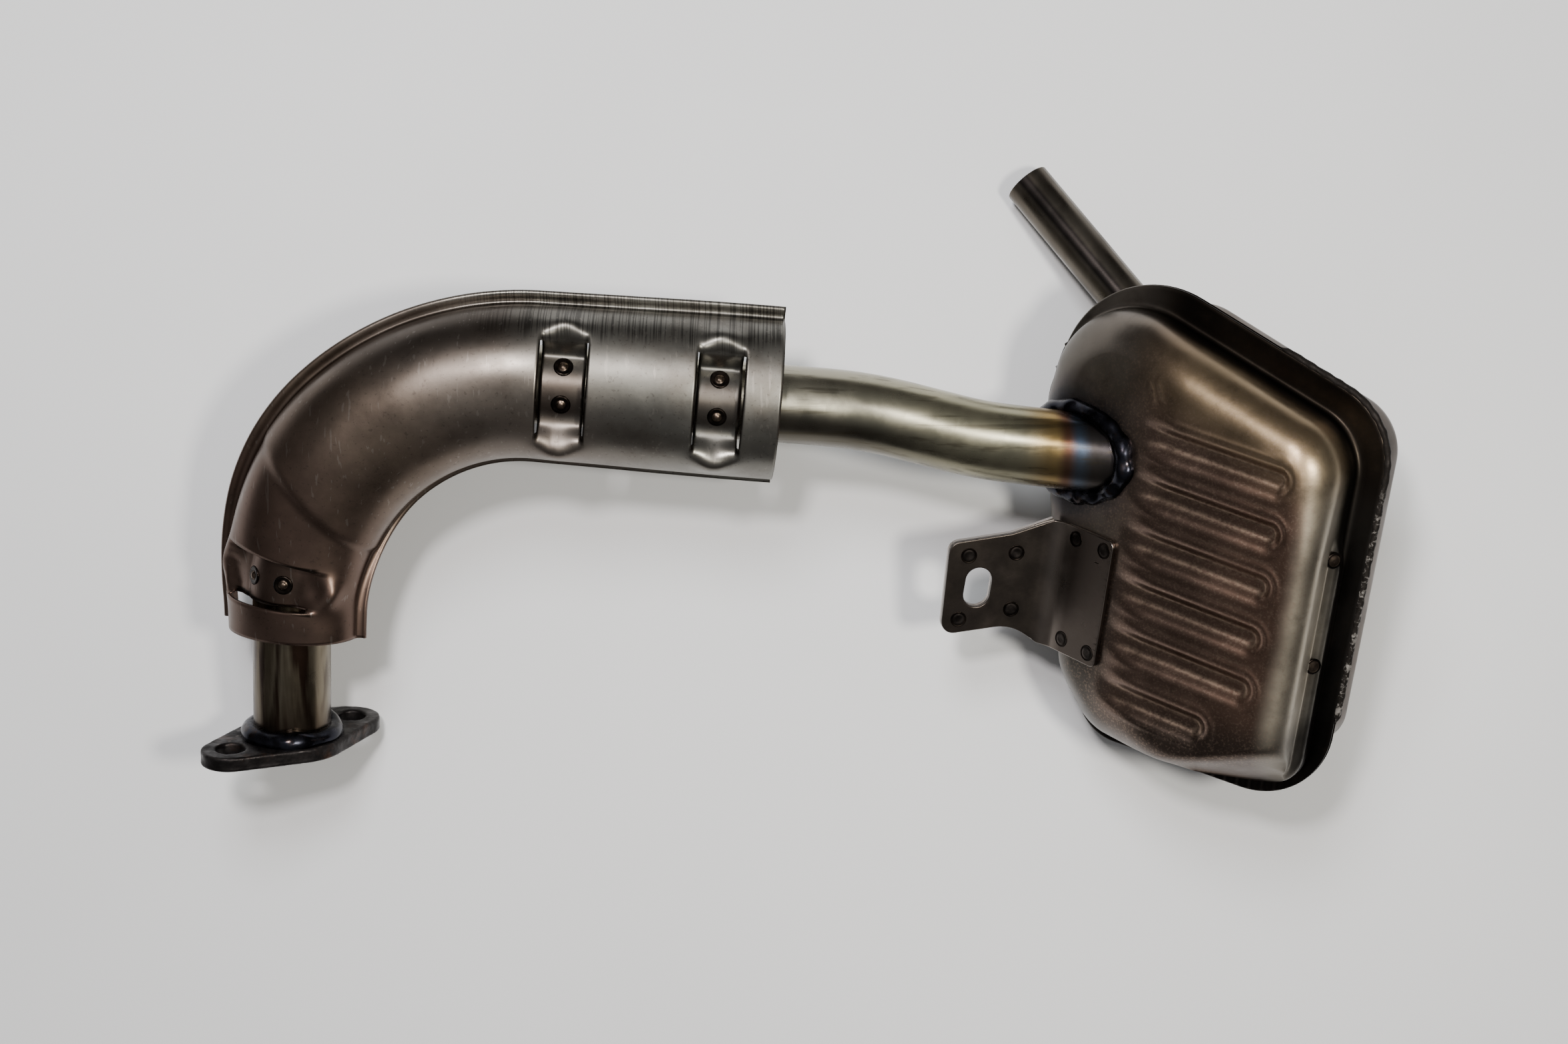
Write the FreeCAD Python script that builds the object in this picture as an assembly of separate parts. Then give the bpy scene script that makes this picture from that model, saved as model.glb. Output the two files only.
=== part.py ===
import FreeCAD, Part
import math
import os

# A small-engine racing exhaust: a two-bolt header flange, a bent header pipe
# under a stamped heat shield, a two-shell muffler tilted against the table,
# a double-plate hanger bracket and a straight tail pipe.  All millimetres.
# The model is laid out as the exhaust lies on a bench, z = 0 being the bench,
# and is moved at the end so that the origin is under the middle of its box.

Vec = FreeCAD.Vector

# Header tube and its route (the route's first point is the mating face)
TUBE_R = 12.5
TUBE_WALL = 1.5
ROUTE = [Vec(-162.3, -73.7, 26.7), Vec(-155.7, 49.7, 59.3), Vec(25.8, 35.9, 46.5),
         Vec(62.6, 26.3, 49.0), Vec(113.6, 19.8, 54.8)]
BEND_R = 75.0
EASE_R = 120.0

# Header flange
FLANGE_T = 5.0
BOLT_SPACING = 48.0
BOLT_HOLE_R = 4.5
FLANGE_END_R = 9.5
FLANGE_MID_R = 18.0
FLANGE_TURN = 49.0

# Muffler: centre of the seam and its three directions
SEAM_AT = Vec(145.0, -3.4, 62.0)
TILT_LEFT = 36.0
TILT_DOWN = 11.0
SLOPE = 18.0
SHEET = 1.2
FACE_UP = 26.0
BACK_DOWN = 43.0
EDGE_R = 8.0
RIM_LOOP = [(-63.0, 80.7), (40.0, 47.0), (40.0, -82.5), (-40.0, -82.5), (-57.0, -60.0),
            (-75.5, 27.0)]
RIM_RADII = [34.0, 24.0, 26.0, 16.0, 22.0, 26.0]
FRONT_LOOP = [(-66.0, 71.5), (31.8, 39.8), (32.5, -75.0), (-36.0, -75.0), (-50.0, -58.0),
              (-72.5, 26.0)]
FRONT_RADII = [28.0, 19.0, 12.0, 16.0, 20.0, 26.0]
BACK_LOOP = [(-52.5, 66.5), (31.0, 38.5), (31.5, -74.0), (-35.0, -74.0), (-49.0, -57.0),
             (-61.0, 28.0)]
BACK_RADII = [18.0, 19.0, 12.0, 16.0, 20.0, 30.0]
FACET_LEAN = 16.0
FACET_FROM = -22.0

# Stiffening grooves pressed into the shells
GROOVE_R = 3.6
GROOVE_DEEP = 2.2
GROOVE_PITCH = 16.75
FRONT_GROOVE_TOP = 26.0

# Tail pipe
TAIL_R = 7.75
TAIL_WALL = 1.0
TAIL_TIP = Vec(82.5, 115.0, 7.52)
TAIL_LONG = 158.0

# Heat shield
SHIELD_T = 1.0
PIPE_GAP = 0.05
SHIELD_FROM = 40.5
SHIELD_TO = 247.0
STRAP_AT = [59.0, 178.5, 227.5]
STRAP_W = 14.0
STRAP_LEAN = 12.0

# Inside the muffler: two baffles, a perforated inlet tube and a transfer tube
BAFFLE_AT = [2.5, -32.0]
INLET_INSIDE = 36.0
TRANSFER_AT = (14.0, 8.0)
TRANSFER_R = 8.0

# Bracket: the tab's plane, its outline, and the foot's place on the left facet
PLATE_T = 1.6
TAB_LOOP = [(-31.6, 17.7), (-37.8, -13.2), (-14.5, -13.6), (-1.6, -21.6), (3.4, 20.4),
            (-11.0, 17.6)]
TAB_RADII = [4.0, 4.0, 14.0, 0.4, 0.4, 14.0]
SLOT_AT = (-24.0, 1.2)
SLOT_R = 4.35
SLOT_HALF = 2.4
FOOT = (-34.7, -10.7, -50.2, -7.6)
TAB_SPOTS = [(-25.9, 12.6), (-10.3, 11.0), (-13.7, -8.1), (-31.3, -8.7)]
FOOT_SPOTS = [(-26.4, -11.4), (-14.2, -11.4), (-26.0, -45.6), (-14.4, -46.2)]
SPOT_R = 2.6
SPOT_H = 0.4


def unit(v):
    return v * (1.0 / v.Length)


def muffler_axes():
    """The seam plane's across (u) and up (v) directions and its normal (n)."""
    a, b, s = math.radians(TILT_LEFT), math.radians(TILT_DOWN), math.radians(SLOPE)
    n = Vec(-math.sin(a) * math.cos(b), -math.sin(b), math.cos(a) * math.cos(b))
    x, y = math.cos(s), -math.sin(s)
    u = unit(Vec(x, y, -(n.x * x + n.y * y) / n.z))
    return u, n.cross(u), n


U, V, N = muffler_axes()


def corner_arc(p, before, after, radius):
    """Start, middle and end of the arc that rounds the corner at p."""
    a, b = unit(before - p), unit(after - p)
    half = math.acos(max(-1.0, min(1.0, a.dot(b)))) / 2
    mid = unit(a + b)
    centre = p + mid * (radius / math.sin(half))
    reach = radius / math.tan(half)
    return p + a * reach, centre - mid * radius, p + b * reach


def rounded_loop(points, radii):
    """A closed flat outline of straight edges and corner arcs."""
    count = len(points)
    arcs = [corner_arc(points[i], points[i - 1], points[(i + 1) % count], radii[i])
            for i in range(count)]
    edges = []
    for i in range(count):
        start, mid, end = arcs[i]
        edges.append(Part.Arc(start, mid, end).toShape())
        edges.append(Part.LineSegment(end, arcs[(i + 1) % count][0]).toShape())
    return Part.Wire(edges)


def rounded_path(points, radii):
    """An open route of straight runs joined by tangent arcs."""
    edges = []
    here = points[0]
    for i in range(1, len(points) - 1):
        start, mid, end = corner_arc(points[i], points[i - 1], points[i + 1], radii[i - 1])
        edges.append(Part.LineSegment(here, start).toShape())
        edges.append(Part.Arc(start, mid, end).toShape())
        here = end
    edges.append(Part.LineSegment(here, points[-1]).toShape())
    return Part.Wire(edges)


def rod(start, direction, radius, length):
    return Part.makeCylinder(radius, length, start, direction)


# ---------------------------------------------------------------- header pipe

HEAD = unit(ROUTE[1] - ROUTE[0])
ALONG = unit(ROUTE[2] - ROUTE[1])
ENTRY = unit(ROUTE[4] - ROUTE[3])
BEND_UP = unit(ALONG.cross(HEAD))


def pipe_solid(radius):
    path = rounded_path(ROUTE, [BEND_R, EASE_R, EASE_R])
    ring = Part.Wire(Part.makeCircle(radius, ROUTE[0], HEAD))
    return path.makePipe(Part.Face(ring))


def header_pipe():
    return pipe_solid(TUBE_R).cut(pipe_solid(TUBE_R - TUBE_WALL))


def pipe_station(s):
    """Centre, direction and outward side of the header pipe s mm from its face."""
    turn = HEAD.getAngle(ALONG)
    reach = BEND_R * math.tan(turn / 2)
    first = (ROUTE[1] - ROUTE[0]).Length - reach
    inward = unit(BEND_UP.cross(HEAD)) * -1
    centre = ROUTE[0] + HEAD * first + inward * BEND_R
    if s <= first:
        return ROUTE[0] + HEAD * s, HEAD, inward * -1
    angle = (s - first) / BEND_R
    if angle < turn:
        out = inward * -math.cos(angle) + HEAD * math.sin(angle)
        go = HEAD * math.cos(angle) + inward * math.sin(angle)
        return centre + out * BEND_R, go, out
    out = inward * -math.cos(turn) + HEAD * math.sin(turn)
    start = centre + out * BEND_R
    return start + ALONG * (s - first - BEND_R * turn), ALONG, out


# --------------------------------------------------------------- header flange

def flange_axes():
    """The line through the bolt holes, and the direction across it."""
    level = unit(Vec(0, 0, 1).cross(HEAD)) * -1
    turn = FreeCAD.Rotation(HEAD, FLANGE_TURN)
    line = turn.multVec(level)
    return line, unit(HEAD.cross(line))


def header_flange():
    """Oval plate: two bolt eyes joined by tangents to a round middle."""
    line, across = flange_axes()
    half = BOLT_SPACING / 2
    lean = math.asin((FLANGE_MID_R - FLANGE_END_R) / half)
    face = ROUTE[0]

    def on(cx, radius, angle):
        return face + line * (cx + radius * math.sin(angle)) + across * (radius * math.cos(angle))

    edges = []
    for side in (1, -1):
        eye, body = side * half, 0.0
        a = side * lean
        edges.append(Part.LineSegment(on(body, FLANGE_MID_R, a),
                                      on(eye, FLANGE_END_R, a)).toShape())
        edges.append(Part.LineSegment(on(body, -FLANGE_MID_R, -a),
                                      on(eye, -FLANGE_END_R, -a)).toShape())
        tip = face + line * (side * (half + FLANGE_END_R))
        edges.append(Part.Arc(on(eye, FLANGE_END_R, a), tip,
                              on(eye, -FLANGE_END_R, -a)).toShape())
    for way in (1, -1):
        crown = face + across * (way * FLANGE_MID_R)
        edges.append(Part.Arc(on(0, way * FLANGE_MID_R, -way * lean), crown,
                              on(0, way * FLANGE_MID_R, way * lean)).toShape())
    outline = Part.Wire(Part.__sortEdges__(edges))
    plate = Part.Face(outline).extrude(HEAD * FLANGE_T)
    for side in (1, -1):
        plate = plate.cut(rod(face + line * (side * half) - HEAD, HEAD, BOLT_HOLE_R, 8))
    return plate.cut(rod(face - HEAD, HEAD, TUBE_R, 8))


def flange_weld():
    """Fillet bead round the pipe, on the flange's pipe side."""
    leg = 3.6
    foot = ROUTE[0] + HEAD * FLANGE_T
    side = flange_axes()[0]
    near, far, top = (foot + side * TUBE_R, foot + side * (TUBE_R + leg),
                      foot + side * TUBE_R + HEAD * leg)
    belly = foot + side * (TUBE_R + leg * 0.62) + HEAD * (leg * 0.62)
    edges = [Part.LineSegment(near, far).toShape(), Part.Arc(far, belly, top).toShape(),
             Part.LineSegment(top, near).toShape()]
    return Part.Face(Part.Wire(edges)).revolve(foot, HEAD, 360)


# ----------------------------------------------------------------- heat shield

def gentle(x):
    """A smooth step from 0 to 1."""
    x = min(1.0, max(0.0, x))
    return x * x * (3 - 2 * x)


def shield_measures(s):
    """Roll, outer reach, inner reach and crown height of the shield at s."""
    ease = gentle((s - SHIELD_FROM) / 70.0)
    late = gentle((s - 150.0) / 90.0)
    roll = 22.0 * (1 - ease)
    crown = 17.6 + 2.2 * ease
    return roll, 26.6 + 3.0 * ease + 1.4 * late, 25.7 + late, crown


def shield_frame(s):
    """Centre, side (away from the bend's centre) and up, rolled about the pipe."""
    centre, go, out = pipe_station(s)
    roll = shield_measures(s)[0]
    turn = FreeCAD.Rotation(go, -roll)
    return centre, turn.multVec(out), turn.multVec(BEND_UP), go


def shield_section(s):
    """Closed thin outline: outer lip, dome and inner lip."""
    centre, side, up, _ = shield_frame(s)
    _, outer, inner, crown = shield_measures(s)
    t = SHIELD_T
    lip_out, lip_in, level = 4.2, 2.2, -2.0

    def at(x, h):
        return centre + side * x + up * h

    def line(a, b):
        return Part.LineSegment(at(*a), at(*b)).toShape()

    right, left = outer - lip_out, -(inner - lip_in)
    mid = (right + left) / 2
    edges = [
        line((outer, level), (outer, level + t)), line((outer, level + t), (right, level + t)),
        Part.Arc(at(right, level + t), at(mid, crown), at(left, level + t)).toShape(),
        line((left, level + t), (-inner, level + t)), line((-inner, level + t), (-inner, level)),
        line((-inner, level), (left + t, level)),
        Part.Arc(at(left + t, level), at(mid, crown - t), at(right - t, level)).toShape(),
        line((right - t, level), (outer, level))]
    return Part.Wire(edges)


def strap(s):
    """The strip pressed down on the pipe between two slits."""
    centre, side, up, go = shield_frame(s)
    hug = TUBE_R + PIPE_GAP
    t = SHIELD_T

    def at(x, h):
        return centre + side * x + up * h - go * (STRAP_W / 2)

    def rim(radius, way):
        angle = math.radians(STRAP_LEAN + 38 * way)
        return at(radius * math.sin(angle), radius * math.cos(angle))

    right, left = at(20.5, 9.0), at(-19.5, 9.0)
    right_low, left_low = at(19.8, 8.0), at(-18.8, 8.0)
    edges = [Part.LineSegment(right, rim(hug + t, 1)).toShape(),
             Part.Arc(rim(hug + t, 1), rim(hug + t, 0), rim(hug + t, -1)).toShape(),
             Part.LineSegment(rim(hug + t, -1), left).toShape(),
             Part.LineSegment(left, left_low).toShape(),
             Part.LineSegment(left_low, rim(hug, -1)).toShape(),
             Part.Arc(rim(hug, -1), rim(hug, 0), rim(hug, 1)).toShape(),
             Part.LineSegment(rim(hug, 1), right_low).toShape(),
             Part.LineSegment(right_low, right).toShape()]
    return Part.Face(Part.Wire(edges)).extrude(go * STRAP_W)


def strap_window(s):
    """The dome's material above the strap, with a slit at each side of it."""
    centre, side, up, go = shield_frame(s)
    long = STRAP_W + 1.6
    low = centre - go * (long / 2) - side * 19.0 + up * 9.0
    outline = Part.makePolygon([low, low + side * 39.0, low + side * 39.0 + up * 20,
                                low + up * 20, low])
    return Part.Face(outline).extrude(go * long)


def heat_shield():
    count = 15
    step = (SHIELD_TO - SHIELD_FROM) / (count - 1)
    sections = [shield_section(SHIELD_FROM + step * i) for i in range(count)]
    shell = Part.makeLoft(sections, True, False)
    for s in STRAP_AT:
        shell = shell.cut(strap_window(s)).fuse(strap(s))
    return shell


def shield_spot_welds():
    """Two weld buttons on each strap."""
    hug = TUBE_R + PIPE_GAP + SHIELD_T
    spots = []
    for s in STRAP_AT:
        centre, side, up, go = shield_frame(s)
        strap_form = rod(centre - go * STRAP_W, go, hug, 2 * STRAP_W)
        for lean in (-26.0, 26.0):
            a = math.radians(STRAP_LEAN + lean)
            out = side * math.sin(a) + up * math.cos(a)
            button = rod(centre + out * (hug - 1.0), out, SPOT_R, 1.0 + SPOT_H)
            spots.append(button.cut(strap_form))
    return spots


# -------------------------------------------------------------- muffler shells

def inset(points, by):
    """The same corners, moved so that every edge goes in by a distance."""
    count = len(points)
    lines = []
    for i in range(count):
        (x0, y0), (x1, y1) = points[i], points[(i + 1) % count]
        size = math.hypot(x1 - x0, y1 - y0)
        nx, ny = (y1 - y0) / size, -(x1 - x0) / size
        lines.append((nx, ny, nx * x0 + ny * y0 + by))
    result = []
    for i in range(count):
        a, b = lines[i - 1], lines[i]
        det = a[0] * b[1] - a[1] * b[0]
        result.append(((a[2] * b[1] - b[2] * a[1]) / det, (a[0] * b[2] - b[0] * a[2]) / det))
    return result


def loop_face(points, radii, by, d):
    """The outline as a face at height d, drawn in by a distance."""
    shifted = inset(points, by)
    return Part.Face(rounded_loop([Vec(x, y, d) for x, y in shifted], [r - by for r in radii]))


def past(point, normal, by):
    """A block that holds everything past a plane moved back by a distance."""
    size = 400.0
    block = Part.makeBox(size, size, size, Vec(-size / 2, -size / 2, 0))
    turn = FreeCAD.Rotation(Vec(0, 0, 1), normal)
    block.Placement = FreeCAD.Placement(point - normal * by, turn)
    return block


def left_facet():
    """The plane that lowers the front's left side, for the inlet and bracket."""
    a = math.radians(FACET_LEAN)
    return Vec(FACET_FROM, 0, FACE_UP), Vec(-math.sin(a), 0, math.cos(a))


def low_facet():
    """The plane that lowers the front's bottom left corner."""
    a = math.radians(27.0)
    return Vec(-20.0, -61.5, FACE_UP), Vec(-math.sin(a) * 0.63, -math.sin(a) * 0.777, math.cos(a))


def bottom_slope():
    """The plane that draws in the front's bottom wall towards its right end."""
    right, left, foot = Vec(33, -57, FACE_UP), Vec(-9, -74.5, FACE_UP), Vec(33, -75.5, 2)
    return right, unit((left - right).cross(foot - right))


def bench_facet():
    """The bench plane, seen from the muffler: its back corner is pressed flat to it."""
    down = Vec(-U.z, -V.z, -N.z)
    return down * SEAM_AT.z, down


def rounded_body(points, radii, low, high, planes, by):
    """A prism cut by planes, with every edge rounded, drawn in by a distance.

    A core that is smaller by the edge radius is grown back outwards, which
    leaves the flats where they belong and rolls the edges between them.
    """
    core = loop_face(points, radii, EDGE_R, low).extrude(Vec(0, 0, high - low))
    for point, normal in planes:
        core = core.cut(past(point, normal, EDGE_R))
    return core.Solids[0].makeOffsetShape(EDGE_R - by, 0.01, False, False, 0, 0)


def front_body(by):
    """The front's outer form, or with by = SHEET the space inside it."""
    planes = [left_facet(), low_facet(), bottom_slope()]
    body = rounded_body(FRONT_LOOP, FRONT_RADII, -30.0, FACE_UP - EDGE_R, planes, by)
    body = body.cut(past(Vec(0, 0, 0), Vec(0, 0, -1), 0))
    for i in range(6):
        right = 16.5 if i < 5 else 4.0
        body = body.cut(groove(right, FRONT_GROOVE_TOP - GROOVE_PITCH * i, -27.0, FACE_UP, by))
    return body


def back_body(by):
    planes = [bench_facet()]
    body = rounded_body(BACK_LOOP, BACK_RADII, EDGE_R - BACK_DOWN, 30.0, planes, by)
    body = body.cut(past(Vec(0, 0, 0), Vec(0, 0, 1), 0))
    for i in range(4):
        body = body.cut(groove(15.0, 17.0 - GROOVE_PITCH * i, -16.0, -BACK_DOWN, by))
    return body


def groove(right, v, left, d, by):
    """A round-ended rod laid along a face, as wide as the groove it presses."""
    way = 1 if d > 0 else -1
    radius = GROOVE_R + by
    height = d + way * (GROOVE_R - GROOVE_DEEP)
    rise = (right - left) * math.tan(math.radians(4.0))
    a, b = Vec(left, v + rise, height), Vec(right, v, height)
    tool = rod(a, unit(b - a), radius, (b - a).Length)
    for end in (a, b):
        tool = tool.fuse(Part.makeSphere(radius, end))
    return tool


def placed(shape):
    """Muffler measures turned into the bench's."""
    m = FreeCAD.Matrix(U.x, V.x, N.x, SEAM_AT.x, U.y, V.y, N.y, SEAM_AT.y,
                       U.z, V.z, N.z, SEAM_AT.z, 0, 0, 0, 1)
    moved = shape.copy()
    moved.Placement = FreeCAD.Placement(m).multiply(moved.Placement)
    return moved


def local(point):
    """A bench point in muffler measures."""
    d = point - SEAM_AT
    return Vec(d.dot(U), d.dot(V), d.dot(N))


def local_way(way):
    return Vec(way.dot(U), way.dot(V), way.dot(N))


def rim(low, high, inner):
    """The flat flange that the two shells are joined by."""
    return loop_face(RIM_LOOP, RIM_RADII, 0.0, low).extrude(Vec(0, 0, high - low)).cut(inner)


INLET_FROM = local(ROUTE[3])
INLET_WAY = local_way(ENTRY)
TAIL_WAY = unit(Vec(0.805, -0.593, 0.0))
TAIL_AT = local(TAIL_TIP)


def inlet_rod(radius, start=0.0, length=None):
    return rod(INLET_FROM + INLET_WAY * start, INLET_WAY, radius, length or 120.0)


def tail_rod(radius, start=0.0, length=None):
    return rod(TAIL_AT + TAIL_WAY * start, TAIL_WAY, radius, length or TAIL_LONG)


def front_shell():
    """Ribbed front pressing with its half of the seam flange and the inlet hole."""
    outer = front_body(0)
    shell = outer.cut(front_body(SHEET)).fuse(rim(0.0, SHEET, outer))
    return shell.cut(inlet_rod(TUBE_R))


def rear_shell():
    """Deeper rear pressing with its half of the seam flange and the tail hole."""
    outer = back_body(0)
    shell = outer.cut(back_body(SHEET)).fuse(rim(-SHEET, 0.0, outer))
    return shell.cut(tail_rod(TAIL_R))


def seam_weld():
    """Bead that runs round the seam's right side, past its corners."""
    bead_r = 1.5
    edge = 40.0 + 0.5
    corners = [Vec(0.0, 60.4, 0), Vec(edge, 47.3, 0), Vec(edge, -52.0, 0)]
    path = rounded_path(corners, [24.0])
    ring = Part.Wire(Part.makeCircle(bead_r, corners[0], corners[1] - corners[0]))
    bead = path.makePipe(Part.Face(ring))
    solid = loop_face(RIM_LOOP, RIM_RADII, 0.0, -SHEET).extrude(Vec(0, 0, 2 * SHEET))
    return bead.cut(solid)


def inlet_weld():
    """Collar of weld where the header pipe enters the front shell."""
    bead = front_body(-2.4).common(inlet_rod(TUBE_R + 3.2, 6.0, 60.0))
    return largest(bead.cut(front_body(0)).cut(inlet_rod(TUBE_R)))


def tail_pipe_weld():
    bead = back_body(-1.8).common(tail_rod(TAIL_R + 2.4, 20.0, 80.0))
    return largest(bead.cut(back_body(0)).cut(tail_rod(TAIL_R)))


def largest(shape):
    return max(shape.Solids, key=lambda s: s.Volume)


def tail_pipe():
    return tail_rod(TAIL_R).cut(tail_rod(TAIL_R - TAIL_WALL))


# -------------------------------------------------------------- muffler inside

def header_reach():
    """How far the header pipe runs along its last straight."""
    return (ROUTE[4] - ROUTE[3]).Length


def perforated_tube():
    """Carries on from the header pipe, with rows of holes round it."""
    start = header_reach()
    tube = inlet_rod(TUBE_R, start, INLET_INSIDE)
    tube = tube.cut(inlet_rod(TUBE_R - 1.0, start, INLET_INSIDE))
    side = unit(INLET_WAY.cross(Vec(0, 1, 0)))
    for row in range(4):
        at = INLET_FROM + INLET_WAY * (start + 6.0 + 8.0 * row)
        for turn in range(3):
            way = FreeCAD.Rotation(INLET_WAY, 60.0 * turn + 30.0 * (row % 2)).multVec(side)
            tube = tube.cut(rod(at - way * 20, way, 2.0, 40))
    return tube


def perforated_tube_cap():
    return inlet_rod(TUBE_R, header_reach() + INLET_INSIDE, SHEET)


def transfer_rod(radius):
    u, d = TRANSFER_AT
    return rod(Vec(u, -44.0, d), Vec(0, 1, 0), radius, 52.0)


def transfer_tube():
    return transfer_rod(TRANSFER_R).cut(transfer_rod(TRANSFER_R - 1.0))


def baffle(v):
    """A plate across the whole muffler, cut to the inside of both shells."""
    slab = Part.makeBox(200, SHEET, 200, Vec(-100, v - SHEET / 2, -100))
    plate = slab.common(front_body(SHEET)).fuse(slab.common(back_body(SHEET))).removeSplitter()
    return plate.cut(transfer_rod(TRANSFER_R)).cut(tail_rod(TAIL_R))


def upper_baffle():
    return baffle(BAFFLE_AT[0])


def lower_baffle():
    """The lower baffle also has four bleed holes."""
    plate = baffle(BAFFLE_AT[1])
    for u in (-34.0, -24.0, -14.0, -4.0):
        plate = plate.cut(rod(Vec(u, BAFFLE_AT[1] - 5, 4.0), Vec(0, 1, 0), 3.5, 10))
    return plate


def baffle_plug_welds():
    """Weld buttons on the front shell, where the baffles' edges are fixed."""
    right = [rod(Vec(20.0, v, 11.0), Vec(1, 0, 0), SPOT_R, 20) for v in BAFFLE_AT]
    facet = rod(Vec(-34.0, 13.5, 10.0), left_facet()[1], SPOT_R, 20)
    skin = front_body(-SPOT_H).cut(front_body(0))
    return [largest(skin.common(tool)) for tool in right + [facet]]


# --------------------------------------------------------------------- bracket

FOOT_Y = Vec(0, 1, 0)
FOOT_N = left_facet()[1]
FOOT_X = FOOT_Y.cross(FOOT_N)
TAB_X = unit(local_way(Vec(0.983, 0.155, -0.1)))
TAB_N = unit(TAB_X.cross(FOOT_Y))
TAB_Y = TAB_N.cross(TAB_X)


def on_facet(x, y, h=0.0):
    """A point on the left facet: from its fold, up the muffler, and out of it."""
    return left_facet()[0] + FOOT_X * x + FOOT_Y * y + FOOT_N * h


BEND_AT = on_facet(FOOT[0], -28.0, PLATE_T)


def on_tab(x, y, h=0.0):
    """A point of the tab, from the middle of the bend; h = 0 is its top."""
    return BEND_AT + TAB_X * x + TAB_Y * y + TAB_N * h


def tab_plate(low, high):
    """The tab between two depths, with its slotted hole."""
    plate = Part.Face(rounded_loop([on_tab(x, y, low) for x, y in TAB_LOOP], TAB_RADII))
    plate = plate.extrude(TAB_N * (high - low))
    lean = math.radians(14.5)
    along = TAB_X * math.sin(lean) + TAB_Y * math.cos(lean)
    ends = [on_tab(*SLOT_AT, low - 1) + along * (SLOT_HALF * way) for way in (-1, 1)]
    slot = rod(ends[0], TAB_N, SLOT_R, 6).fuse(rod(ends[1], TAB_N, SLOT_R, 6))
    across = unit(TAB_N.cross(along)) * SLOT_R
    mid = Part.makePolygon([ends[0] - across, ends[0] + across, ends[1] + across,
                            ends[1] - across, ends[0] - across])
    return plate.cut(slot.fuse(Part.Face(mid).extrude(TAB_N * 6)))


def bracket_top_plate():
    """Tab, bend and the foot that lies on the front shell's left facet."""
    left, right, low, high = FOOT
    corners = [on_facet(left, high), on_facet(right, high), on_facet(right, low),
               on_facet(left, low)]
    foot = Part.Face(rounded_loop(corners, [0.4, 2.0, 2.0, 0.4])).extrude(FOOT_N * PLATE_T)
    bend = rod(on_facet(left, low, PLATE_T), FOOT_Y, PLATE_T, high - low)
    return foot.fuse(bend).fuse(tab_plate(-PLATE_T, 0.0)).removeSplitter()


def bracket_bottom_plate():
    """Under the tab, then down the side of the front shell."""
    hug = front_body(-PLATE_T).cut(front_body(0))
    side = hug.common(Part.makeBox(30, 46, 12.5, Vec(-80, -51, SHEET + 0.3)))
    tab = tab_plate(-2 * PLATE_T, -PLATE_T).cut(front_body(0))
    plate = tab.fuse(side).cut(bracket_top_plate())
    return largest(plate)


def tab_spot_welds():
    return [rod(on_tab(x, y), TAB_N, SPOT_R, SPOT_H) for x, y in TAB_SPOTS]


def foot_spot_welds():
    return [rod(on_facet(x, y, PLATE_T), FOOT_N, SPOT_R, SPOT_H) for x, y in FOOT_SPOTS]


# ------------------------------------------------------------------ the object

def sub_parts():
    """Every piece by its name, on the bench."""
    pieces = {
        "header_flange": header_flange(), "flange_weld": flange_weld(),
        "header_pipe": header_pipe(), "heat_shield": heat_shield(),
        "shield_spot_welds": Part.makeCompound(shield_spot_welds())}
    muffler = {
        "front_shell": front_shell(), "rear_shell": rear_shell(), "seam_weld": seam_weld(),
        "inlet_weld": inlet_weld(), "perforated_tube": perforated_tube(),
        "perforated_tube_cap": perforated_tube_cap(), "upper_baffle": upper_baffle(),
        "lower_baffle": lower_baffle(), "transfer_tube": transfer_tube(),
        "baffle_plug_welds": Part.makeCompound(baffle_plug_welds()),
        "bracket_top_plate": bracket_top_plate(),
        "bracket_bottom_plate": bracket_bottom_plate(),
        "tab_spot_welds": Part.makeCompound(tab_spot_welds()),
        "foot_spot_welds": Part.makeCompound(foot_spot_welds()),
        "tail_pipe": tail_pipe(), "tail_pipe_weld": tail_pipe_weld()}
    for name, shape in muffler.items():
        pieces[name] = placed(shape)
    return pieces


def shift(pieces):
    """The move that puts the origin under the middle of the whole box."""
    box = Part.makeCompound(list(pieces.values())).optimalBoundingBox(True, False)
    return Vec(-(box.XMin + box.XMax) / 2, -(box.YMin + box.YMax) / 2, -box.ZMin)


def main():
    os.makedirs("parts", exist_ok=True)
    pieces = sub_parts()
    move = shift(pieces)
    print("moved by", move)
    for name, shape in pieces.items():
        shape.translate(move)
        shape.exportStep("parts/" + name + ".step")
        print(name, shape.isValid(), len(shape.Solids), round(shape.Volume, 1))


if __name__ == "__main__":
    main()
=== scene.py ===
import math
from contextlib import contextmanager

import bmesh
import bpy
import numpy as np
from mathutils import Matrix, Vector, noise


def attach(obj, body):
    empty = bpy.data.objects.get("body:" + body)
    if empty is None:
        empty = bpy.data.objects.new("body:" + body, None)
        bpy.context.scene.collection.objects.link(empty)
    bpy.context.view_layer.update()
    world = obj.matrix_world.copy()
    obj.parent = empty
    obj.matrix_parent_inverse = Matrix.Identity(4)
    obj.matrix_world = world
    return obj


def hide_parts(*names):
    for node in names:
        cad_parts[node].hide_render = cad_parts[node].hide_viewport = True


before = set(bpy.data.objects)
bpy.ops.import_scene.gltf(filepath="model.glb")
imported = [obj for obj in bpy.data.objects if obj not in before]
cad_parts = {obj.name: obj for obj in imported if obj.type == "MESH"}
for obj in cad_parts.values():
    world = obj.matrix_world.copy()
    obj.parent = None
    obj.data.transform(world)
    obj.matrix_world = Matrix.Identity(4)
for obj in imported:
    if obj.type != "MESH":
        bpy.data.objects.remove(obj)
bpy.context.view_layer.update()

# A racing exhaust lying on a table: the CAD frame gets worn stamped sheet,
# lumpy welds, heat tints and scale.  Lengths below are in millimetres, laid
# out on the bench as in the CAD source, then moved by SHIFT into the frame.

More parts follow.
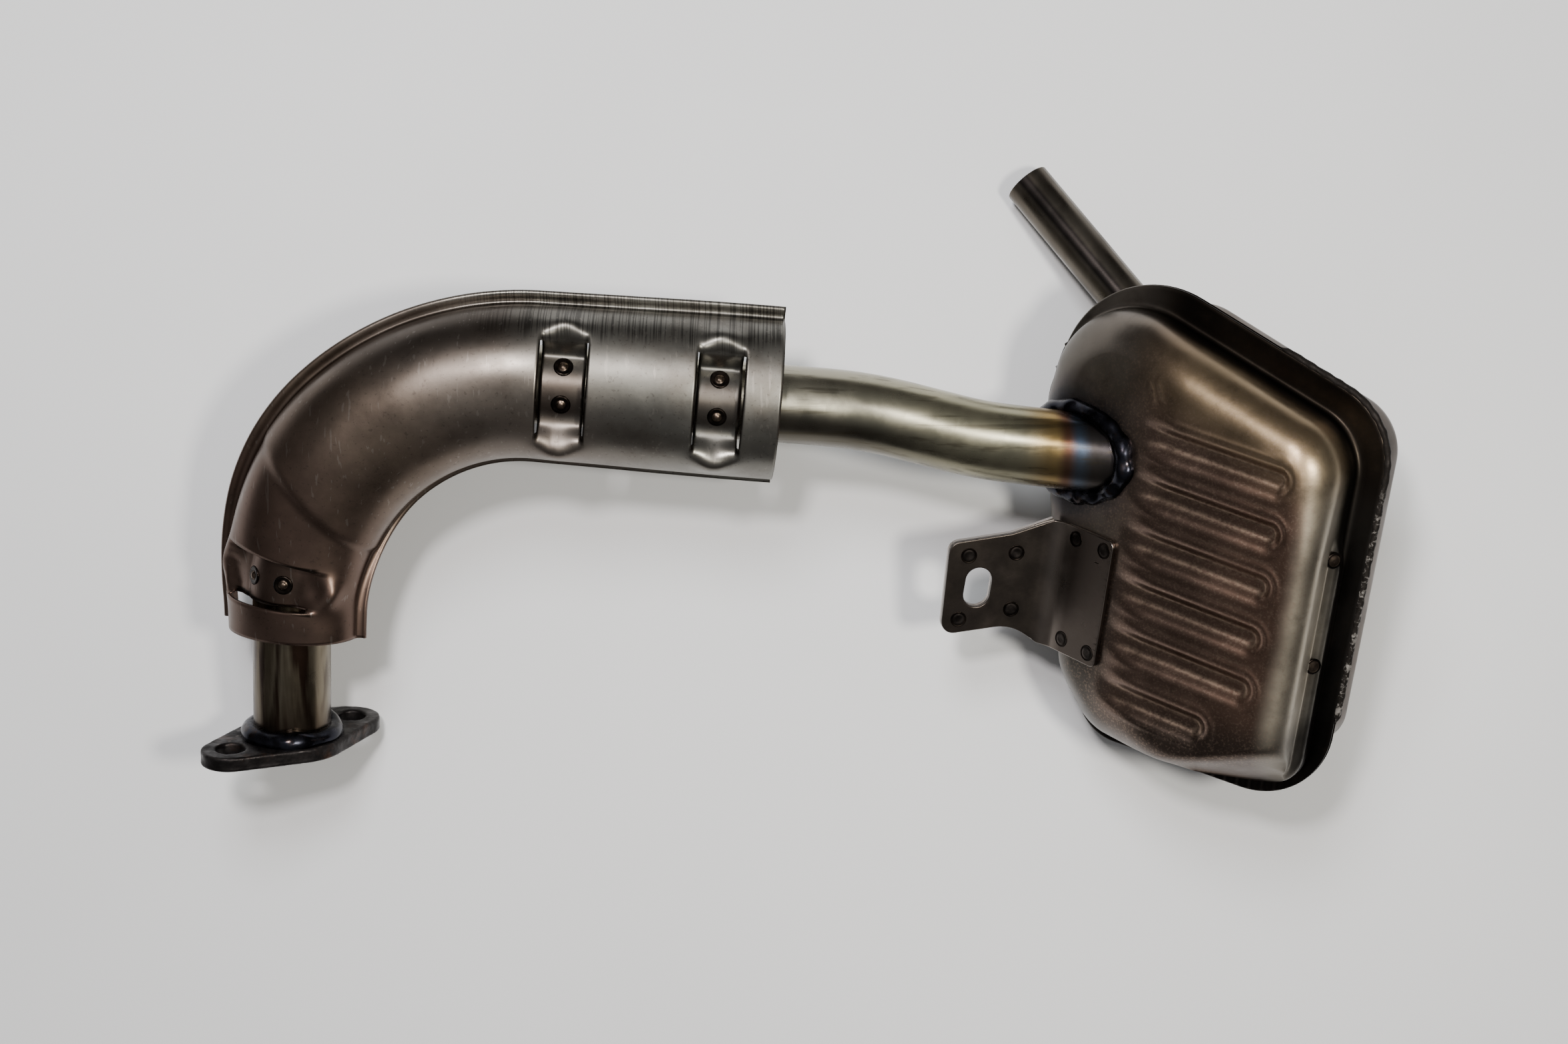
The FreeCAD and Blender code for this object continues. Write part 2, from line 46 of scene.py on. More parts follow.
MM = 0.001
SHIFT = np.array([-3.441026, -16.826092, 0.001524])

TUBE_R = 12.5
ROUTE = np.array([(-162.3, -73.7, 26.7), (-155.7, 49.7, 59.3), (25.8, 35.9, 46.5),
                  (62.6, 26.3, 49.0), (113.6, 19.8, 54.8)])
BEND_R = 75.0

FLANGE_T = 5.0
BOLT_HALF = 24.0
BOLT_HOLE_R = 4.5
FLANGE_END_R = 9.5
FLANGE_MID_R = 18.0
FLANGE_TURN = 49.0

SEAM_AT = np.array([145.0, -3.4, 62.0])
TILT_LEFT, TILT_DOWN, SLOPE = 36.0, 11.0, 18.0
SHEET = 1.2
FACE_UP = 26.0
BACK_DOWN = 43.0
EDGE_R = 8.0
RIM_LOOP = [(-63.0, 80.7), (40.0, 47.0), (40.0, -82.5), (-40.0, -82.5), (-57.0, -60.0),
            (-75.5, 27.0)]
RIM_RADII = [34.0, 24.0, 26.0, 16.0, 22.0, 26.0]
FRONT_LOOP = [(-66.0, 71.5), (31.8, 39.8), (32.5, -75.0), (-36.0, -75.0), (-50.0, -58.0),
              (-72.5, 26.0)]
FRONT_RADII = [28.0, 19.0, 12.0, 16.0, 20.0, 26.0]
BACK_LOOP = [(-52.5, 66.5), (31.0, 38.5), (31.5, -74.0), (-35.0, -74.0), (-49.0, -57.0),
             (-61.0, 28.0)]
BACK_RADII = [18.0, 19.0, 12.0, 16.0, 20.0, 30.0]
FACET_LEAN = math.radians(16.0)
FACET_FROM = -22.0

TAIL_R = 7.75
TAIL_TIP = np.array([82.5, 115.0, 7.52])
TAIL_LONG = 158.0

SHIELD_T = 1.0
HUG_R = TUBE_R + 0.05 + SHIELD_T
SHIELD_FROM, SHIELD_TO = 40.5, 247.0
STRAP_AT = [59.0, 178.5, 227.5]
STRAP_W = 14.0
STRAP_LEAN = 12.0
SLIT = 0.5

PLATE_T = 1.6
FOOT = (-34.7, -10.7, -50.2, -7.6)
TAB_LOOP = [(-31.6, 17.7), (-37.8, -13.2), (-14.5, -13.6), (-1.6, -21.6), (3.4, 20.4),
            (-11.0, 17.6)]
SLOT_AT = (-24.0, 1.2)
SLOT_R, SLOT_HALF, SLOT_LEAN = 4.35, 2.4, math.radians(14.5)
TAB_SPOTS = [(-25.9, 12.6), (-10.3, 11.0), (-13.7, -8.1), (-31.3, -8.7)]
FOOT_SPOTS = [(-26.4, -11.4), (-14.2, -11.4), (-26.0, -45.6), (-14.4, -46.2)]
BAFFLE_AT = [2.5, -32.0]

TABLE_HALF = 6000.0
CAMERA_UP = 746.0


# ------------------------------------------------------------ small geometry

def unit(v):
    v = np.asarray(v, float)
    return v / np.linalg.norm(v)


def turned(v, axis, angle):
    """v turned about a unit axis by an angle in radians."""
    c, s = math.cos(angle), math.sin(angle)
    return v * c + np.cross(axis, v) * s + axis * (v @ axis) * (1 - c)


def turns(count):
    """Angles evenly round a circle."""
    return [2 * math.pi * k / count for k in range(count)]


def spun(x, y, angle):
    """The unit vector at an angle in the plane of two others."""
    return x * math.cos(angle) + y * math.sin(angle)


def spokes(way, angles):
    """Unit vectors at the angles round an axis."""
    x = unit(np.cross(way, [0.1, 0.2, 0.97]))
    y = np.cross(way, x)
    return [spun(x, y, a) for a in angles]


def gentle(x):
    """A smooth step from 0 to 1."""
    x = np.clip(x, 0.0, 1.0)
    return x * x * (3 - 2 * x)


def smooth_min(a, b, k):
    """The smaller of two heights, with the crease between them rounded."""
    h = np.clip(0.5 + 0.5 * (b - a) / k, 0.0, 1.0)
    return b * (1 - h) + a * h - k * h * (1 - h)


def wobble(points, scale, seed=0.0):
    """Smooth noise, -1 to 1, at each row of points (mm)."""
    return np.array([noise.noise(Vector((p[0] / scale + seed, p[1] / scale - seed, p[2] / scale)))
                     for p in points])


def muffler_axes():
    """The muffler's axes on the bench: across its face, up it and out of it."""
    a, b, s = (math.radians(x) for x in (TILT_LEFT, TILT_DOWN, SLOPE))
    n = np.array([-math.sin(a) * math.cos(b), -math.sin(b), math.cos(a) * math.cos(b)])
    x, y = math.cos(s), -math.sin(s)
    u = unit([x, y, -(n[0] * x + n[1] * y) / n[2]])
    return u, np.cross(n, u), n


U, V, N = muffler_axes()
AXES = np.array([U, V, N])
HEAD = unit(ROUTE[1] - ROUTE[0])
ALONG = unit(ROUTE[2] - ROUTE[1])
ENTRY = unit(ROUTE[4] - ROUTE[3])
BEND_UP = unit(np.cross(ALONG, HEAD))
INLET_FROM = AXES @ (ROUTE[3] - SEAM_AT)
INLET_WAY = AXES @ ENTRY
TAIL_WAY = unit([0.805, -0.593, 0.0])
TAIL_AT = AXES @ (TAIL_TIP - SEAM_AT)


def in_frame(point):
    """A bench point as a point of the frame, in metres."""
    return tuple(float(c) * MM for c in np.array(point) + SHIFT)


def placing(origin, x, y, z):
    """The matrix, in metres, of a piece laid out in its own axes."""
    m = Matrix.Identity(4)
    for row in range(3):
        m[row][0], m[row][1], m[row][2] = x[row], y[row], z[row]
        m[row][3] = (origin[row] + SHIFT[row]) * MM
    return m


MUFFLER = placing(SEAM_AT, U, V, N)
BENCH = placing(np.zeros(3), *np.eye(3))


def mesh_of(name, points, faces):
    """A mesh from points in mm."""
    mesh = bpy.data.meshes.new(name)
    mesh.from_pydata([tuple(float(c) * MM for c in p) for p in points], [], faces)
    return mesh


def linked(name, data):
    """A new object in the scene."""
    thing = bpy.data.objects.new(name, data)
    bpy.context.scene.collection.objects.link(thing)
    return thing


def smooth_all(mesh):
    mesh.polygons.foreach_set("use_smooth", [True] * len(mesh.polygons))
    mesh.update()


def adopt(name, mesh, material, place, node):
    """A piece for a CAD node, from a mesh in the axes of its place."""
    mesh.transform(place)
    mesh.materials.append(material)
    piece = linked(name, mesh)
    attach(piece, "root")
    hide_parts(node)
    return piece


def add_piece(name, points, faces, material, place, node):
    mesh = mesh_of(name, points, faces)
    smooth_all(mesh)
    return adopt(name, mesh, material, place, node)


@contextmanager
def edited(mesh):
    """The mesh opened for editing, and written back after."""
    opened = bmesh.new()
    opened.from_mesh(mesh)
    yield opened
    opened.to_mesh(mesh)
    opened.free()


def faces_outward(mesh):
    with edited(mesh) as opened:
        bmesh.ops.recalc_face_normals(opened, faces=opened.faces)


def grid_faces(rows, columns, wrap=False, skip=None):
    """Quads between neighbouring rows of a grid of points."""
    faces = []
    for i in range(rows - 1):
        for j in range(columns if wrap else columns - 1):
            if skip is None or not skip(i, j):
                k = (j + 1) % columns
                faces.append((i * columns + j, i * columns + k,
                              (i + 1) * columns + k, (i + 1) * columns + j))
    return faces


def solidify(piece, thickness):
    """Thickens a sheet, inwards from its outer face."""
    sheet = piece.modifiers.new("sheet", "SOLIDIFY")
    sheet.thickness, sheet.offset = thickness * MM, -1.0


def evaluated_mesh(thing):
    evaluated = thing.evaluated_get(bpy.context.evaluated_depsgraph_get())
    return bpy.data.meshes.new_from_object(evaluated)


def baked(piece):
    """The piece with its modifiers applied."""
    mesh = evaluated_mesh(piece)
    piece.modifiers.clear()
    piece.data = mesh
    return piece


def recoated(piece, material):
    """The piece with one material alone, and shaded smooth."""
    piece.data.materials.clear()
    piece.data.materials.append(material)
    smooth_all(piece.data)
    return piece


def corner_arc(p, before, after, radius, steps):
    """The arc that rounds the corner p between its two neighbours."""
    a, b = unit(before - p), unit(after - p)
    half = math.acos(a @ b) / 2
    centre = p + unit(a + b) * (radius / math.sin(half))
    first, last = p + a * radius / math.tan(half), p + b * radius / math.tan(half)
    start = math.atan2(*(first - centre)[::-1])
    sweep = math.atan2(*(last - centre)[::-1]) - start
    sweep = (sweep + math.pi) % (2 * math.pi) - math.pi
    angles = start + sweep * np.linspace(0, 1, steps)
    return centre + radius * np.column_stack([np.cos(angles), np.sin(angles)])


def rounded(points, radii, steps=24):
    """A closed outline of straight edges and corner arcs, as points."""
    p = np.array(points, float)
    count = len(p)
    return np.vstack([corner_arc(p[i], p[i - 1], p[(i + 1) % count], radii[i], steps)
                      for i in range(count)])


def run_of(points):
    """How far along a line of points each of them lies."""
    return np.concatenate([[0], np.cumsum(np.linalg.norm(np.diff(points, axis=0), axis=1))])


def resampled(points, count, endpoint=True):
    """Evenly spaced points along a flat line of points."""
    run = run_of(points)
    at = np.linspace(0, run[-1], count, endpoint=endpoint)
    return np.column_stack([np.interp(at, run, points[:, k]) for k in (0, 1)])


def evenly(outline, count):
    """A closed outline's points, evenly spaced along it."""
    return resampled(np.vstack([outline, outline[:1]]), count, endpoint=False)


def by_sides(outline, corners, counts):
    """A closed outline split near four corners, each side evenly spaced."""
    dense = evenly(outline, 4000)
    marks = [int(np.argmin(np.linalg.norm(dense - np.array(c), axis=1))) for c in corners]
    step = 1 if (marks[1] - marks[0]) % 4000 < 2000 else -1
    sides = []
    for i, count in enumerate(counts):
        a, b = marks[i], marks[(i + 1) % 4]
        length = (step * (b - a)) % 4000
        at = (a + step * np.linspace(0, length, count, endpoint=False).round().astype(int)) % 4000
        sides.append(dense[at])
    return np.vstack(sides)


def outward(outline):
    """Unit normals of a closed flat outline, pointing out of it."""
    along = np.roll(outline, -1, axis=0) - np.roll(outline, 1, axis=0)
    n = np.column_stack([along[:, 1], -along[:, 0]])
    n /= np.linalg.norm(n, axis=1)[:, None]
    middle = outline.mean(axis=0)
    return n * np.sign(np.sum(n * (outline - middle)))


def reach(outline, centre, angles):
    """How far an outline lies from a centre, along each angle."""
    d = evenly(outline, 2000) - centre
    a = np.arctan2(d[:, 1], d[:, 0])
    order = np.argsort(a)
    return np.interp(angles, a[order], np.linalg.norm(d, axis=1)[order], period=2 * math.pi)


# ----------------------------------------------------------------- materials

def set_stops(bar, stops):
    """A colour ramp's stops, each (position, (r, g, b))."""
    while len(bar.elements) < len(stops):
        bar.elements.new(0.5)
    for element, (at, colour) in zip(bar.elements, stops):
        element.position = at
        element.color = (*colour, 1)


class Nodes:
    """A short way to write a material's node tree."""

    def __init__(self, name):
        self.material = bpy.data.materials.new(name)
        self.material.use_nodes = True
        self.tree = self.material.node_tree
        self.place = self.add("ShaderNodeTexCoord", "Object", {})

    def add(self, kind, out, puts, **settings):
        """Adds a node, sets it and its input sockets, and returns one of its outputs."""
        node = self.tree.nodes.new(kind)
        for key, value in settings.items():
            setattr(node, key, value)
        self.put(node, puts)
        return node.outputs[out]

    def put(self, node, puts):
        """Links or sets a node's input sockets."""
        for key, value in puts.items():
            if isinstance(value, bpy.types.NodeSocket):
                self.tree.links.new(value, node.inputs[key])
            else:
                node.inputs[key].default_value = value

    def noise(self, scale, detail=4.0, rough=0.55, squeeze=None):
        """Noise with features about 1/scale metres across."""
        at = self.place
        if squeeze:
            at = self.add("ShaderNodeMapping", "Vector", {"Vector": at, "Scale": squeeze})
        return self.add("ShaderNodeTexNoise", "Fac", {"Vector": at, "Scale": scale,
                                                      "Detail": detail, "Roughness": rough})

    def math(self, kind, a, b=0.0):
        return self.add("ShaderNodeMath", 0, {0: a, 1: b}, operation=kind)

    def times(self, a, b):
        return self.math("MULTIPLY", a, b)

    def ragged(self, value, amount, *grain):
        """value with noise added to it."""
        return self.math("ADD", value, self.times(self.noise(*grain), amount))

    def span(self, value, low, high, out_low=0.0, out_high=1.0):
        """value from low..high to out_low..out_high, smoothly."""
        return self.add("ShaderNodeMapRange", 0,
                        dict(enumerate((value, low, high, out_low, out_high))),
                        interpolation_type="SMOOTHSTEP")

    def patchy(self, low, high, *grain):
        """A value that drifts between low and high."""
        return self.span(self.noise(*grain), 0.3, 0.7, low, high)

    def drifting(self, value, start, length, amount, *grain):
        """value from 0 at start to 1 a length later, its course shifted by noise."""
        drift = self.times(self.math("SUBTRACT", self.noise(*grain), 0.5), amount)
        moved = self.math("ADD", self.math("ADD", value, drift), -start)
        return self.math("DIVIDE", moved, length)

    def along(self, direction, origin=(0, 0, 0)):
        """The position along a direction from a bench point, in mm."""
        offset = self.add("ShaderNodeVectorMath", "Vector", {0: self.place, 1: in_frame(origin)},
                          operation="SUBTRACT")
        per_mm = tuple(float(c) / MM for c in direction)
        return self.add("ShaderNodeVectorMath", "Value", {0: offset, 1: per_mm},
                        operation="DOT_PRODUCT")

    def distance(self, point):
        """The distance to a bench point, in mm."""
        metres = self.add("ShaderNodeVectorMath", "Value", {0: self.place, 1: in_frame(point)},
                          operation="DISTANCE")
        return self.times(metres, 1 / MM)

    def edges(self, low, high):
        """From 0 to 1 as the surface turns from low to high pointiness (flat is 0.5)."""
        return self.span(self.add("ShaderNodeNewGeometry", "Pointiness", {}), low, high)

    def ramp(self, value, *stops):
        """A colour for each position: stops are (position, (r, g, b))."""
        colour = self.add("ShaderNodeValToRGB", "Color", {0: value})
        bar = colour.node.color_ramp
        bar.interpolation = "EASE"
        set_stops(bar, stops)
        return colour

    def mix(self, amount, a, b):
        a, b = ((*v, 1) if isinstance(v, tuple) else v for v in (a, b))
        return self.add("ShaderNodeMix", 2, {"Factor": amount, 6: a, 7: b}, data_type="RGBA")

    def over(self, colour, mask, amount, tone):
        """colour turned by an amount towards a tone, where the mask is 1."""
        return self.mix(self.times(mask, amount), colour, tone)

    def bump(self, height, distance, strength, **onto):
        """A bumpy normal, the distance in mm; Normal= lays it over another."""
        return self.add("ShaderNodeBump", 0, {"Strength": strength, "Distance": distance * MM,
                                              "Height": height, **onto})

    def finish(self, colour, rough, metallic, normal):
        self.put(self.tree.nodes["Principled BSDF"],
                 {"Base Color": colour, "Roughness": rough, "Metallic": metallic,
                  "Normal": normal})
        return self.material


def shield_material():
    """Stamped sheet: grey on the straight, bronze round the bend, with scratches."""
    m = Nodes("shield_sheet")
    heat = m.span(m.along((0.72, 0.69, 0), (-150.0, -20.0, 0)), 0, 150)
    tint = m.ramp(m.ragged(heat, 0.16, 22, 3),
                  (0.0, (0.13, 0.085, 0.068)), (0.3, (0.15, 0.115, 0.09)),
                  (0.62, (0.165, 0.14, 0.12)), (1.0, (0.19, 0.184, 0.165)))
    colour = m.over(tint, m.span(m.noise(60, 6, 0.65), 0.42, 0.72), 0.4, (0.075, 0.055, 0.042))
    colour = over_bend(m, over_straight(m, colour))
    for at in STRAP_AT:
        colour = over_strap(m, colour, *shield_frame(at))
    colour = m.over(colour, m.span(m.noise(900, 2), 0.62, 0.7), 0.35, (0.05, 0.04, 0.035))
    fine = m.span(m.noise(800, 2, 0.4, (1.0, 0.1, 1.0)), 0.66, 0.7)
    colour = m.over(colour, fine, 0.22, (0.34, 0.31, 0.28))
    bumps = m.bump(m.noise(120), 0.12, 0.4)
    scratches = m.bump(m.noise(420, 2, 0.5, (1.0, 0.12, 1.0)), 0.02, 0.35, Normal=bumps)
    return m.finish(colour, m.patchy(0.3, 0.42, 45, 5, 0.6), 1.0, scratches)


def over_straight(m, colour):
    """Fine dark lines drawn across the shield's straight, from its outer edge in."""
    edge = m.along((0.076, 0.997, 0), (-60.0, 42.0, 0))
    ends = m.span(m.ragged(edge, 16.0, 120, 3, 0.55, (1.0, 0.05, 0.05)), 22, 27)
    lines = m.span(m.noise(1600, 2, 0.6, (1.0, 0.01, 0.01)), 0.49, 0.56)
    lines = m.times(m.times(lines, ends), m.span(m.along((1, 0, 0)), -115, -80))
    return m.over(colour, lines, 0.62, (0.02, 0.018, 0.016))


def over_bend(m, colour):
    """A dark band along the outside of the shield's bend."""
    centre, _, out = pipe_station(100.0)
    radial = m.distance(centre - out * BEND_R)
    band = m.times(m.span(radial, 87, 95), m.span(radial, 103, 99))
    band = m.times(band, m.span(m.along((1, 0, 0)), -72, -92))
    band = m.times(band, m.span(m.along((0, 1, 0)), 28, 60))
    return m.over(colour, band, 0.6, (0.05, 0.038, 0.031))


def over_strap(m, colour, centre, side, up, go):
    """Dark lines at a strap's slits, and burnt sheet round its spot welds."""
    off = m.math("SUBTRACT", m.math("ABSOLUTE", m.along(go, centre)), (STRAP_W + SLIT) / 2)
    beside = m.math("ABSOLUTE", m.along(side, centre + side))
    line = m.times(m.span(m.math("ABSOLUTE", off), 1.0, 0.45), m.span(beside, 16.5, 14.5))
    colour = m.over(colour, line, 0.9, (0.018, 0.014, 0.011))
    burn = m.span(m.ragged(m.distance(centre + up * (TUBE_R + 1)), 4.0, 200, 3), 13.0, 8.0)
    return m.over(colour, burn, 0.6, (0.06, 0.043, 0.034))


def muffler_material():
    """Heat-tinted sheet: brown face, paler facets, painted highlight on the right rolled edge,
    painted sheen in its rib channels, black walls and rim.
    """
    m = Nodes("muffler_sheet")
    high, across, up = (m.along(way, SEAM_AT) for way in (N, U, V))
    # Brown face and grey facet, then straw and silver on the right rolled edge: that band is
    # painted highlight.
    face = m.ramp(m.drifting(across, -75.0, 125.0, 12.0, 18),
                  (0.0, (0.09, 0.083, 0.073)), (0.26, (0.16, 0.14, 0.12)),
                  (0.42, (0.15, 0.103, 0.082)), (0.78, (0.165, 0.104, 0.078)),
                  (0.84, (0.42, 0.37, 0.29)), (0.9, (0.55, 0.53, 0.48)))
    crown = m.math("ADD", up, m.times(across, 0.33))
    straw = m.times(m.span(crown, 22, 44), m.span(across, -46, -10))
    colour = m.over(face, straw, 0.8, (0.33, 0.25, 0.15))
    foot = m.span(m.math("SUBTRACT", up, m.times(across, 0.2)), -52, -64)
    colour = m.over(colour, foot, 0.7, (0.055, 0.048, 0.042))
    corner = m.times(m.span(across, -24, -38), m.span(up, -10, -26))
    colour = m.over(colour, corner, 0.8, (0.045, 0.041, 0.037))
    ring = m.span(m.ragged(m.distance(ROUTE[3] + ENTRY * 29.0), 8.0, 90), 16, 36)
    burnt = m.ramp(ring, (0.0, (0.012, 0.011, 0.014)), (0.35, (0.022, 0.022, 0.032)),
                   (0.6, (0.06, 0.045, 0.05)), (1.0, (0.1, 0.075, 0.06)))
    colour = m.mix(ring, burnt, colour)
    wall = m.times(m.span(m.ragged(high, 5.0, 60), 15.5, 9.0), m.span(across, -58, -30))
    colour = m.over(colour, wall, 0.97, (0.012, 0.01, 0.009))
    back = m.mix(m.span(m.noise(30), 0.35, 0.65), (0.06, 0.037, 0.021), (0.036, 0.024, 0.017))
    colour = m.mix(m.span(high, -2, 0.5), back, colour)
    colour = m.over(colour, m.span(m.noise(140, 6, 0.7), 0.5, 0.78), 0.4, (0.05, 0.036, 0.028))
    # Painted sheen: the rib channels lightened in a streaky grain, as if their lower flanks caught
    # the light.
    stretched = m.times(m.span(m.noise(700, 4, 0.7), 0.35, 0.6), m.span(high, 13, 17))
    painted_channel_sheen = m.times(m.edges(0.497, 0.48), stretched)
    colour = m.over(colour, painted_channel_sheen, 0.55, (0.36, 0.27, 0.2))
    grain = m.times(m.span(m.noise(1300, 2), 0.5, 0.68), m.span(high, 15, 24))
    colour = m.over(colour, grain, 0.35, (0.34, 0.25, 0.19))
    bumps = m.bump(m.noise(160, 5), 0.1, 0.35)
    normal = m.bump(m.noise(1500, 2), 0.012, 0.5, Normal=bumps)
    return m.finish(colour, m.patchy(0.28, 0.42, 38, 5, 0.65), 1.0, normal)


def header_material():
    """Tube: brown bands by the flange, straw on the run with painted shade along its lower side,
    gold and blue at the muffler.
    """
    m = Nodes("header_tube")
    run = m.along((1, 0, 0))
    late = m.ramp(m.drifting(run, -10.0, 122.0, 5.0, 40, 3),
                  (0.0, (0.36, 0.34, 0.27)), (0.68, (0.38, 0.36, 0.25)),
                  (0.78, (0.36, 0.25, 0.1)), (0.812, (0.16, 0.08, 0.05)),
                  (0.845, (0.09, 0.12, 0.17)), (0.88, (0.07, 0.062, 0.06)),
                  (0.95, (0.03, 0.026, 0.03)))
    bands = m.ramp(m.noise(190, 3, 0.5, (1.0, 0.06, 0.3)),
                   (0.36, (0.035, 0.021, 0.015)), (0.46, (0.12, 0.098, 0.068)),
                   (0.55, (0.17, 0.145, 0.105)), (0.66, (0.04, 0.025, 0.018)))
    early = m.mix(m.span(m.along((0, 1, 0), (0, -78.0, 0)), 4, 24), (0.045, 0.03, 0.022), bands)
    # Painted shade: the middle run darkened along its lower side.
    under = m.span(m.along((0.158, 0.987, 0), (25.8, 33.9, 0)), 1.0, -5.5)
    under = m.times(under, m.span(run, 20, 62, 0.85, 0.4))
    late = m.mix(under, late, (0.05, 0.043, 0.035))
    lines = m.span(m.noise(420, 3, 0.6, (0.04, 1.0, 1.0)), 0.52, 0.66)
    late = m.over(late, lines, 0.5, (0.07, 0.058, 0.036))
    colour = m.mix(m.span(run, -140, -60), early, late)
    normal = m.bump(m.noise(500, 3, 0.5, (0.2, 1.0, 1.0)), 0.02, 0.5)
    return m.finish(colour, m.patchy(0.2, 0.34, 60), 1.0, normal)


def flange_material():
    """Black oxide scale, pitted, rubbed through to metal on the edges."""
    m = Nodes("flange_steel")
    base = m.mix(m.span(m.noise(110, 6, 0.7), 0.4, 0.65), (0.016, 0.014, 0.014),
                 (0.0304, 0.0266, 0.0266))
    wear = m.times(m.edges(0.52, 0.6), m.span(m.noise(260, 5, 0.7), 0.35, 0.6))
    colour = m.mix(wear, base, (0.11, 0.09, 0.078))
    rust = m.span(m.noise(75, 5, 0.65), 0.56, 0.7)
    colour = m.over(colour, rust, 0.5, (0.075, 0.04, 0.026))
    bumps = m.bump(m.noise(230, 6, 0.65), 0.25, 0.6)
    normal = m.bump(m.noise(1100, 3), 0.04, 0.5, Normal=bumps)
    return m.finish(colour, m.patchy(0.3, 0.6, 200, 5), 0.9, normal)


def weld_material():
    """Glassy dark weld metal with blue and brown tints."""
    m = Nodes("header_weld")
    tint = m.ramp(m.noise(170, 4, 0.6), (0.32, (0.012, 0.011, 0.013)),
                  (0.55, (0.026, 0.027, 0.036)), (0.75, (0.04, 0.027, 0.02)))
    normal = m.bump(m.noise(600, 4, 0.6), 0.06, 0.5)
    return m.finish(tint, m.patchy(0.14, 0.35, 300, 3), 1.0, normal)


def seam_material():
    """Rough bead, dark with pale spatter."""
    m = Nodes("seam_bead")
    pale = m.times(m.span(m.noise(380, 4, 0.7), 0.5, 0.62), m.span(m.along(V, SEAM_AT), 32, 8))
    colour = m.mix(pale, (0.02, 0.017, 0.015), (0.3, 0.28, 0.26))
    normal = m.bump(m.noise(700, 5, 0.7), 0.12, 0.9)
    return m.finish(colour, m.patchy(0.5, 0.75, 500, 3), 0.85, normal)


def bracket_material():
    """Dark satin plate, with painted light on its foot, a painted highlight in the fold, and cut
    edges bright with wear and painted highlight.
    """
    m = Nodes("bracket_sheet")
    across = m.along(U, SEAM_AT)
    colour = m.ramp(m.noise(55, 5, 0.6), (0.3, (0.042, 0.034, 0.03)),
                    (0.5, (0.063, 0.052, 0.044)), (0.7, (0.086, 0.07, 0.06)))
    # Painted light: the foot paler than the tab.
    colour = m.mix(m.span(across, -61.0, -52.0, 0.0, 0.75), colour, (0.115, 0.095, 0.083))
    # Painted highlight: a pale band along the fold.
    valley = m.math("ABSOLUTE", m.math("ADD", across, 52.5))
    colour = m.mix(m.span(valley, 5.5, 0.5, 0.0, 0.6), colour, (0.3, 0.26, 0.23))
    # Cut edges brightened: wear, and painted highlight.
    colour = m.over(colour, m.edges(0.52, 0.56), 0.85, (0.42, 0.38, 0.35))
    bumps = m.bump(m.noise(240, 5), 0.05, 0.5)
    normal = m.bump(m.noise(1300, 2), 0.015, 0.5, Normal=bumps)
    return m.finish(colour, m.patchy(0.26, 0.38, 90, 5), 1.0, normal)


def spot_material(name, colour):
    """A pressed weld mark, darker in patches."""
    m = Nodes(name)
    tone = m.mix(m.span(m.noise(400, 3), 0.35, 0.65), colour, tuple(c * 0.45 for c in colour))
    normal = m.bump(m.noise(900, 3), 0.03, 0.6)
    return m.finish(tone, m.patchy(0.24, 0.42, 250, 3), 1.0, normal)


def tail_material():
    """Thin grey-brown tube with a dark seam line along it."""
    m = Nodes("tail_tube")
    tone = m.ramp(m.noise(70, 4, 0.55, (1.0, 0.35, 1.0)), (0.3, (0.08, 0.067, 0.053)),
                  (0.55, (0.125, 0.11, 0.09)), (0.75, (0.165, 0.148, 0.125)))
    side = unit(np.cross(unit(TAIL_WAY @ AXES), [0, 0, 1.0]))
    off = m.math("ABSOLUTE", m.math("SUBTRACT", m.along(side, TAIL_TIP), 1.6))
    colour = m.over(tone, m.span(off, 2.7, 1.2), 0.93, (0.014, 0.012, 0.012))
    normal = m.bump(m.noise(500, 3), 0.02, 0.4)
    return m.finish(colour, m.patchy(0.24, 0.38, 80, 3), 1.0, normal)


def inner_material():
    """Plain pale sheet for the pieces inside the muffler."""
    m = Nodes("inner_sheet")
    tone = m.ramp(m.noise(80), (0.3, (0.24, 0.2, 0.17)), (0.7, (0.36, 0.33, 0.3)))
    return m.finish(tone, 0.5, 1.0, m.bump(m.noise(300, 3), 0.03, 0.4))


def table_material():
    m = Nodes("table_top")
    tone = m.ramp(m.noise(3), (0.3, (0.71, 0.71, 0.715)), (0.7, (0.75, 0.75, 0.755)))
    return m.finish(tone, m.patchy(0.5, 0.6, 9, 3), 0.0, m.bump(m.noise(900, 2), 0.01, 0.2))


# --------------------------------------------------------------- heat shield

def pipe_station(s):
    """Centre, direction and outward side of the header pipe s mm from its face."""
    turn = math.acos(HEAD @ ALONG)
    first = np.linalg.norm(ROUTE[1] - ROUTE[0]) - BEND_R * math.tan(turn / 2)
    inward = -unit(np.cross(BEND_UP, HEAD))
    centre = ROUTE[0] + HEAD * first + inward * BEND_R
    if s <= first:
        return ROUTE[0] + HEAD * s, HEAD, -inward
    angle = min(turn, (s - first) / BEND_R)
    out = -inward * math.cos(angle) + HEAD * math.sin(angle)
    go = HEAD * math.cos(angle) + inward * math.sin(angle)
    return centre + out * BEND_R + go * max(0.0, s - first - BEND_R * turn), go, out


def shield_measures(s):
    """Roll, outer reach, inner reach and crown height of the shield at s."""
    ease = float(gentle((s - SHIELD_FROM) / 70.0))
    late = float(gentle((s - 150.0) / 90.0))
    return 22.0 * (1 - ease), 26.6 + 3.0 * ease + 1.4 * late, 25.7 + late, 17.6 + 2.2 * ease


def shield_frame(s):
    """Centre, outward side, up and direction of the rolled shield at s."""
    centre, go, out = pipe_station(s)
    roll = -math.radians(shield_measures(s)[0])
    return centre, turned(out, go, roll), turned(BEND_UP, go, roll), go


